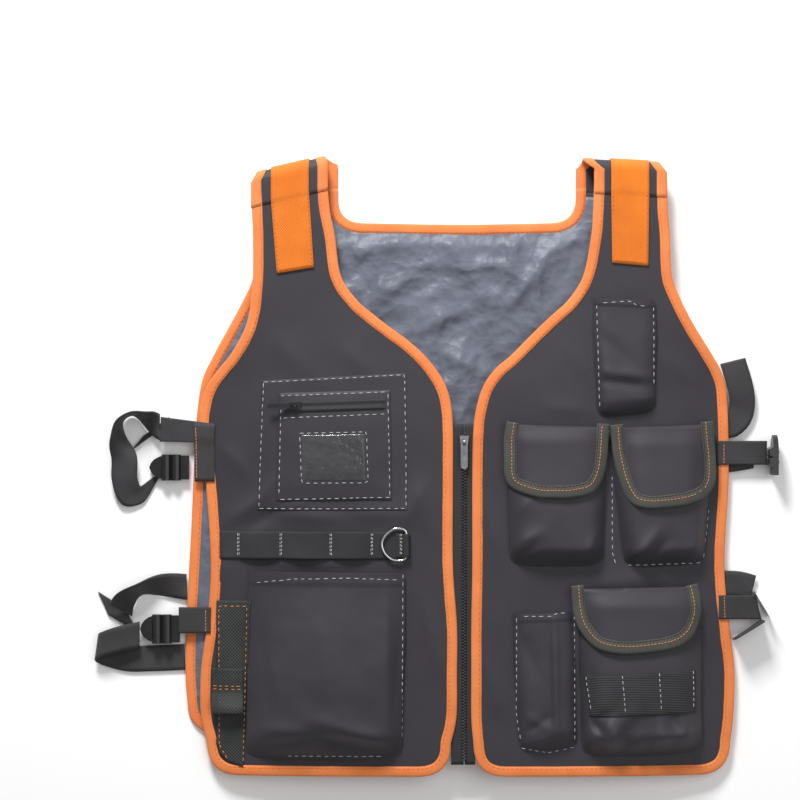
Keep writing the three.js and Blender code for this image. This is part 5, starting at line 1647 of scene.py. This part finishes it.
@dataclass
class ToolLoops:
    """The band of three tool loops, and the ring on its tab."""

    wire: float = 1.25
    ring_height: float = 31.26
    ring_sides: int = 12

    def build(self) -> None:
        """Builds the band, its bars of stitches, the tab and the ring."""
        bars = (238, 281, 331, 372, 401)
        ends = [u - 462.0 for u in bars]

        def bow(s: float, t: float, x: float, y: float) -> float:
            """Lifts the band between its bars.

            Args:
                s: Share across.
                t: Share along.
                x: Distance across.
                y: Distance up.

            Returns:
                The lift in millimetres.
            """
            for a, b in zip(ends[:-1], ends[1:-1]):
                if a < x < b:
                    return 4.2 * math.sin(math.pi * (x - a) / (b - a)) ** 0.8 + 0.3 * ripple(x, y, 12, 61.0)
            return 0.0

        band = from_photo((219, 559), (404, 559), (404, 531), (219, 531))
        flat_patch("tool_loop_web", LOOP_WEB, band, 1.8, "tool_loop_band", (120, 10), bow, 1.4)
        tab = from_photo((396, 557.5), (410.5, 556.5), (410, 533.5), (396, 533))
        over = self.ring_height + self.wire + 0.9
        flat_patch("ring_tab_web", LOOP_WEB, tab, 1.2, "d_ring_tab", (28, 10),
                   lambda s, t, x, y: (over - GROUND.height(x, y)) * smooth(0.25, 0.6, s)
                   * (1 - 0.85 * smooth(0.88, 1.0, s)), 0.9)
        seam = Seam("loop_bar_stitches", GREY_THREAD, 2.6, 1.2, 0.42)
        for u in bars:
            for shift in (-0.7, 0.7):
                seam.row(from_photo((u + shift, 533.5), (u + shift, 556.5)), on_ground)
        seam.finished()
        self.ring()

    def ring(self) -> None:
        """Bends the ring's wire, whose straight bar turns in the tab."""
        knots = from_photo((406.3, 534), (406, 531), (403, 528.6), (398.8, 528), (394.7, 528.2),
                           (389.6, 531.1),
                           (384.5, 536.2), (382, 543.4), (384, 551), (388.1, 556.1), (393.2, 559.2),
                           (399.5, 559.8),
                           (404, 558.6), (406.3, 555), (406.3, 545), (406.3, 534))
        path = curve_through(knots, 1.0)
        normals = inward(path, False)
        rows, sides = len(path) - 1, self.ring_sides
        normals[-1] = normals[0]

        def place(s: float, t: float) -> tuple[Vector, Point]:
            """Wraps the grid round the wire.

            Args:
                s: Share across.
                t: Share along.

            Returns:
                The spot and its thread coordinates.
            """
            j, angle = round(t * rows), 2 * math.pi * s
            spot = Vector(path[j]) + normals[j] * self.wire * math.cos(angle)
            return Vector((spot.x, spot.y, self.ring_height + self.wire * math.sin(angle))), (s, t)

        bm = bend_grid(sides, rows, place)
        bmesh.ops.remove_doubles(bm, verts=bm.verts, dist=0.00005)
        bmesh.ops.recalc_face_normals(bm, faces=bm.faces)
        dress(bm, "ring_wire", RING_METAL, ["d_ring"], body="ring")


@dataclass
class SidePatch:
    """The coarse patch on the wearer's right, and its hammer loop."""

    def build(self) -> None:
        """Builds the patch and the loop with their stitches."""
        outline = straight_through(from_photo((250, 601), (216, 601), (216, 745), (219, 754), (228, 763),
                                              (243, 767),
                                              (250, 601)))[:-1]
        cloth = cut_sheet(outline, 2.0, lambda x, y: GROUND.height(x, y) + 1.5)
        GROUND.add(dress(cloth, "side_weave_patch", COARSE_WEB, ["side_patch"], wall=1.2))
        seam = Seam("side_patch_stitches", ORANGE_THREAD, 3.6, 2.4, 0.42)
        for path in (((218.8, 745), (218.4, 606.5), (247, 606.5), (243, 764)), ((219, 746), (229, 763))):
            seam.row(from_photo(*path), on_ground)

        def bow(s: float, t: float, x: float, y: float) -> float:
            """Lifts the lower half of the loop."""
            return 11.0 * smooth(0.5, 0.1, t) * (0.75 + 0.25 * math.sin(math.pi * s)) + 0.4 * ripple(x, y, 9,
                                                                                                     71.0)

        loop = from_photo((211, 713), (244, 713), (243, 669), (211, 669))
        flat_patch("hammer_web", COARSE_WEB, loop, 2.0, "hammer_loop", (18, 30), bow, 1.5)
        for v in (686.5, 689.5):
            seam.row(from_photo((212.5, v), (242, v)), on_ground)
        seam.finished()


@dataclass
class PocketStitches:
    """The visible rows of pale stitches on the pockets, and the ribbed band of the lower one."""

    rows: tuple[tuple[Point, ...], ...] = (
        ((250, 583), (295, 578), (350, 577), (403, 579)), ((403, 574), (402, 749)), ((288, 755), (388, 755)),
        ((595, 304), (629, 301.5), (636, 306), (653, 307.5)), ((653, 308), (653.5, 384)),
        ((596, 306), (599, 410)), ((515, 615), (551, 615), (555, 612), (569, 612)),
        ((516, 617), (516, 712), (521, 745)),
        ((574, 616), (574, 744)), ((521, 747), (548, 752), (574, 746)), ((612, 477), (612, 553), (616, 565)),
        ((628, 565), (702, 563)), ((710, 510), (704, 559)),
    )
    band_rows: tuple[tuple[Point, ...], ...] = (
        ((584.5, 675), (590, 712)), ((620, 673), (623, 709)), ((657, 671), (659, 710)),
        ((692, 670), (692.5, 709)),
    )

    def build(self) -> None:
        """Builds the band and every row of stitches."""
        band = from_photo((588, 714), (695, 711), (695, 669), (583, 674))
        flat_patch("lower_elastic", ELASTIC, band, 1.6, "elastic_loops", (70, 16),
                   lambda s, t, x, y: 0.5 * math.sin(math.pi * s * 3) ** 2, 1.2)
        seam = Seam("pocket_stitches", GREY_THREAD)
        for path in self.rows:
            seam.row(from_photo(*path), on_ground)
        seam.finished()
        bars = Seam("elastic_stitches", GREY_THREAD, 3.6, 2.0, 0.45)
        for path in self.band_rows:
            bars.row(from_photo(*path), on_ground)
        bars.finished()


@dataclass(frozen=True)
class StrapRow:
    """One place on a strap's centre line: out, up and rise in web widths, then heading and lean."""

    out: float
    up: float
    rise: float
    turn: float
    lean: float = 0.0


def strap_rows(*rows: tuple[float, ...]) -> tuple[StrapRow, ...]:
    """Names the columns of a strap's table."""
    return tuple(StrapRow(*row) for row in rows)


@dataclass
class SideStraps:
    """The four side straps with their stubs, buckles and slide."""

    anchors: dict[str, tuple[int, float]] = field(default_factory=lambda: {
        "upper_right": (-1, 0.561), "lower_right": (-1, 0.253),
        "upper_left": (1, 0.5235), "lower_left": (1, 0.2723),
    })
    stubs: tuple[tuple[str, str, float, tuple[Point, ...]], ...] = (
        # piece, solid, share at which its bar of stitches stands, and corners in web widths
        ("upper_right_stub_web", "upper_right_stub", 0.9,
         ((-0.54, -0.5), (1.58, -0.46), (1.54, 0.5), (-0.54, 0.23))),
        ("upper_right_fold_web", "upper_right_stub", 0.1,
         ((-0.54, -2), (0.23, -2), (0.27, 0.28), (-0.54, 0.23))),
        ("lower_right_stub_web", "lower_right_stub", 0.85,
         ((-0.38, -0.54), (0.85, -0.54), (0.85, 0.46), (-0.38, 0.46))),
        ("upper_left_stub_web", "upper_left_stub", 0.14,
         ((-0.23, -0.46), (1.703, -0.46), (1.703, 0.46), (-0.23, 0.46))),
        ("lower_left_stub_web", "lower_left_stub", 0.14,
         ((-0.15, -0.46), (1.49, -0.46), (1.27, 0.46), (-0.15, 0.46))),
    )
    webs: tuple[tuple[str, str, float, tuple[StrapRow, ...]], ...] = (
        # piece, solid, width and places
        ("upper_right_loop_web", "upper_right_strap", WEB_WIDTH, strap_rows(
            (1.595, 0.1, 0.34, 90, 0), (2.1, 0.42, 0.5, 110, 55), (2.65, 0.62, 0.55, 100, 82),
            (3.12, 0.3, 0.55, 40, 80), (3.14, -0.35, 0.5, 10, 55), (2.95, -1.1, 0.4, 0, 4),
            (2.95, -1.9, 0.32, 0), (2.7, -2.55, 0.16, -45), (2.15, -2.4, 0.07, -70),
            (1.75, -2.05, 0.05, -60))),
        ("upper_right_tail_web", "upper_right_tail", TAIL_WIDTH, strap_rows(
            (1.46, 0.22, 0.1, -50), (1.9, -0.1, 0.09, -50), (2.5, -0.55, 0.09, -50))),
        ("lower_right_loop_web", "lower_right_strap", WEB_WIDTH, strap_rows(
            (2.36, -0.6, 0.34, 90), (3.1, -0.75, 0.46, 92), (3.8, -0.95, 0.46, 98), (4.02, -1.1, 0.28, 98),
            (3.8, -1.3, 0.08, 96), (2.9, -1.55, 0.05, 90), (1.9, -1.55, 0.05, 90), (0.64, -1.5, 0.05, 88))),
        ("lower_right_limb_web", "lower_right_limb", WEB_WIDTH, strap_rows(
            (0.56, 1.22, 0.1, 88), (1.5, 1.3, 0.3, 84, 30), (2.35, 1.15, 0.46, 70, 62),
            (2.9, 0.75, 0.42, 40, 40), (3.1, 0.32, 0.24, 30, 14))),
        ("lower_right_tail_web", "lower_right_tail", WEB_WIDTH, strap_rows(
            (2.75, 0.02, 0.09, 62), (3.3, 0.28, 0.05, 64), (3.8, 0.58, 0.05, 66))),
        ("upper_left_strap_web", "upper_left_strap", WEB_WIDTH, strap_rows(
            (0.1, 1.05, 0.165, 92), (0.46, 1.14, 0.165, 112), (0.74, 1.6, 0.18, 158),
            (0.72, 2.4, 0.3, 184), (0.4, 3.55, 0.26, 194))),
        ("upper_left_limb_web", "upper_left_limb", WEB_WIDTH, strap_rows(
            (0.1, -0.28, 0.205, 90), (0.7, -0.2, 0.17, 90), (1.22, -0.1, 0.2, 90))),
        ("lower_left_strap_web", "lower_left_strap", WEB_WIDTH, strap_rows(
            (0.1, 0.9, 0.21, 90), (0.7, 0.86, 0.15, 86), (1.2, 0.72, 0.16, 76))),
        ("lower_left_tail_web", "lower_left_tail", WEB_WIDTH, strap_rows(
            (1.54, -0.5, 0.5, 90, 88), (1.0, -0.86, 0.5, 100, 86), (0.42, -1.22, 0.5, 100, 84))),
    )
    stub_lift: float = 2.6
    sag: float = 0.4

    def anchor(self, node: str) -> tuple[int, Vector]:
        """Finds the side of a strap's solid and its place on the front's edge."""
        side, up = self.anchors[node.rsplit("_", 1)[0]]
        return side, Vector((side * FRONT_WIDTH, up * FRONT_LENGTH, 0.0))

    def web(self, name: str, node: str, rows: tuple[StrapRow, ...], width: float) -> None:
        """Runs one web through its rows.

        Args:
            name: The piece's name.
            node: The solid that it replaces.
            rows: The places that it runs through.
            width: Its width.
        """
        side, anchor = self.anchor(node)
        knots = [(r.out * WEB_WIDTH, r.up * WEB_WIDTH, r.rise * WEB_WIDTH, r.turn, r.lean) for r in rows]
        line, across = [], []
        for out, up, rise, turn, lean in curve_through(knots, 4.0):
            line.append(anchor + Vector((side * out, up, rise + WEB_WALL / 2)))
            turn, lean = math.radians(turn), math.radians(lean)
            across.append(Vector((side * math.cos(turn) * math.cos(lean), math.sin(turn) * math.cos(lean),
                                  math.sin(lean))))
        bm = web_run(line, across, width, self.sag)
        face_up(bm)
        piece = dress(bm, name, BLACK_WEB, [node], wall=WEB_WALL)
        piece.modifiers["wall"].offset = 0.0
        GROUND.add(piece)

    def stub(self, name: str, node: str, corners: Sequence[Point], seam: Seam, share: float) -> None:
        """Sews a short end of web on the front's edge, with one bar of stitches across it.

        Args:
            name: The piece's name.
            node: The solid that it replaces.
            corners: Its corners, out and up in web widths.
            seam: The seam that its bar is added to.
            share: Where the bar stands across it.
        """
        side, anchor = self.anchor(node)
        places = [(anchor.x + side * out * WEB_WIDTH, anchor.y + up * WEB_WIDTH) for out, up in corners]
        if side < 0:
            places = [places[1], places[0], places[3], places[2]]
        z = front_bed(anchor.x, anchor.y) + CLOTH + self.stub_lift

        def place(s: float, t: float) -> tuple[Vector, Point]:
            """Lays the grid level from the front's edge outwards."""
            x, y = in_quad(places, s, t)
            return Vector((x, y, max(z, GROUND.height(x, y, 0.0) + 1.5))), (x, y)

        bm = bend_grid(18, 14, place)
        face_up(bm)
        GROUND.add(dress(bm, name, BLACK_WEB, [node], wall=WEB_WALL))
        foot, head = in_quad(places, share, 0.06), in_quad(places, share, 0.94)
        seam.row([foot, head], on_ground)

    def build(self) -> None:
        """Builds every strap in its place."""
        seam = Seam("stub_stitches", ORANGE_THREAD, 2.4, 0.8, 0.42)
        for name, node, share, corners in self.stubs:
            self.stub(name, node, corners, seam, share)
        seam.finished()
        for name, node, width, rows in self.webs:
            self.web(name, node, rows, width)
        for node in ("upper_right_buckle", "lower_right_buckle", "upper_left_buckle"):
            coat(node, PLASTIC)
        coat("lower_left_slide", RING_METAL)


@dataclass
class Studio:
    """A pale floor, soft light and the camera over it."""

    centre: tuple[float, float] = (-0.0357, 0.0654)
    height: float = 2.5
    lens: float = 111.6
    sensor: float = 36.0
    floor_size: float = 4.0
    floor_shade: float = 0.98
    sky_strength: float = 0.36
    lamps: tuple[tuple[str, tuple[float, float, float], float, float], ...] = (
        ("key", (-0.45, 1.9, 1.25), 0.6, 66.0),
        ("fill", (0.9, 0.3, 1.9), 1.6, 12.0),
    )

    def build(self) -> None:
        """Sets the floor, the lights and the camera."""
        bm = bmesh.new()
        bmesh.ops.create_grid(bm, x_segments=1, y_segments=1, size=self.floor_size)
        mesh = bpy.data.meshes.new("floor")
        bm.to_mesh(mesh)
        bm.free()
        floor = bpy.data.objects.new("floor", mesh)
        bpy.context.scene.collection.objects.link(floor)
        paint = bpy.data.materials.new("floor_paint")
        paint.use_nodes = True
        shader = paint.node_tree.nodes["Principled BSDF"]
        shader.inputs["Base Color"].default_value = (*[self.floor_shade] * 3, 1)
        shader.inputs["Roughness"].default_value = 0.9
        shader.inputs["Specular IOR Level"].default_value = 0.1
        mesh.materials.append(paint)
        world = bpy.data.worlds.new("studio")
        world.use_nodes = True
        world.node_tree.nodes["Background"].inputs["Color"].default_value = (1, 1, 1, 1)
        world.node_tree.nodes["Background"].inputs["Strength"].default_value = self.sky_strength
        scene = bpy.context.scene
        scene.world = world
        scene.view_settings.view_transform = "Standard"
        for lamp in self.lamps:
            self.lamp(*lamp)
        data = bpy.data.cameras.new("view")
        data.lens = self.lens
        data.sensor_width = self.sensor
        data.clip_end = 20.0
        camera = bpy.data.objects.new("view", data)
        camera.location = (*self.centre, self.height)
        scene.collection.objects.link(camera)
        scene.camera = camera

    def lamp(self, name: str, spot: tuple[float, float, float], size: float, power: float) -> None:
        """Hangs one soft lamp that looks at the vest.

        Args:
            name: The lamp's name.
            spot: Where it hangs.
            size: Its side, in metres.
            power: Its power, in watts.
        """
        data = bpy.data.lights.new(name, "AREA")
        data.shape = "SQUARE"
        data.size = size
        data.energy = power
        lamp = bpy.data.objects.new(name, data)
        lamp.location = spot
        lamp.rotation_euler = (Vector((0, 0, 0)) - Vector(spot)).to_track_quat("-Z", "Y").to_euler()
        bpy.context.scene.collection.objects.link(lamp)


def main() -> None:
    """Builds the vest from the floor up, then the studio."""
    logging.basicConfig(level=logging.INFO, format="%(message)s")
    parts = (BackPanel(), CentreZip(), *FRONTS, *SHOULDERS, IdentityPocket(), ToolLoops(), CARGO, PEN, INNER,
             OUTER, LOWER, NARROW, SidePatch(), PocketStitches(), FLAP_A, FLAP_B, FLAP_C, SideStraps(),
             Studio())
    for part in parts:
        log.info("building %s", type(part).__name__)
        part.build()


if __name__ == "__main__":
    main()
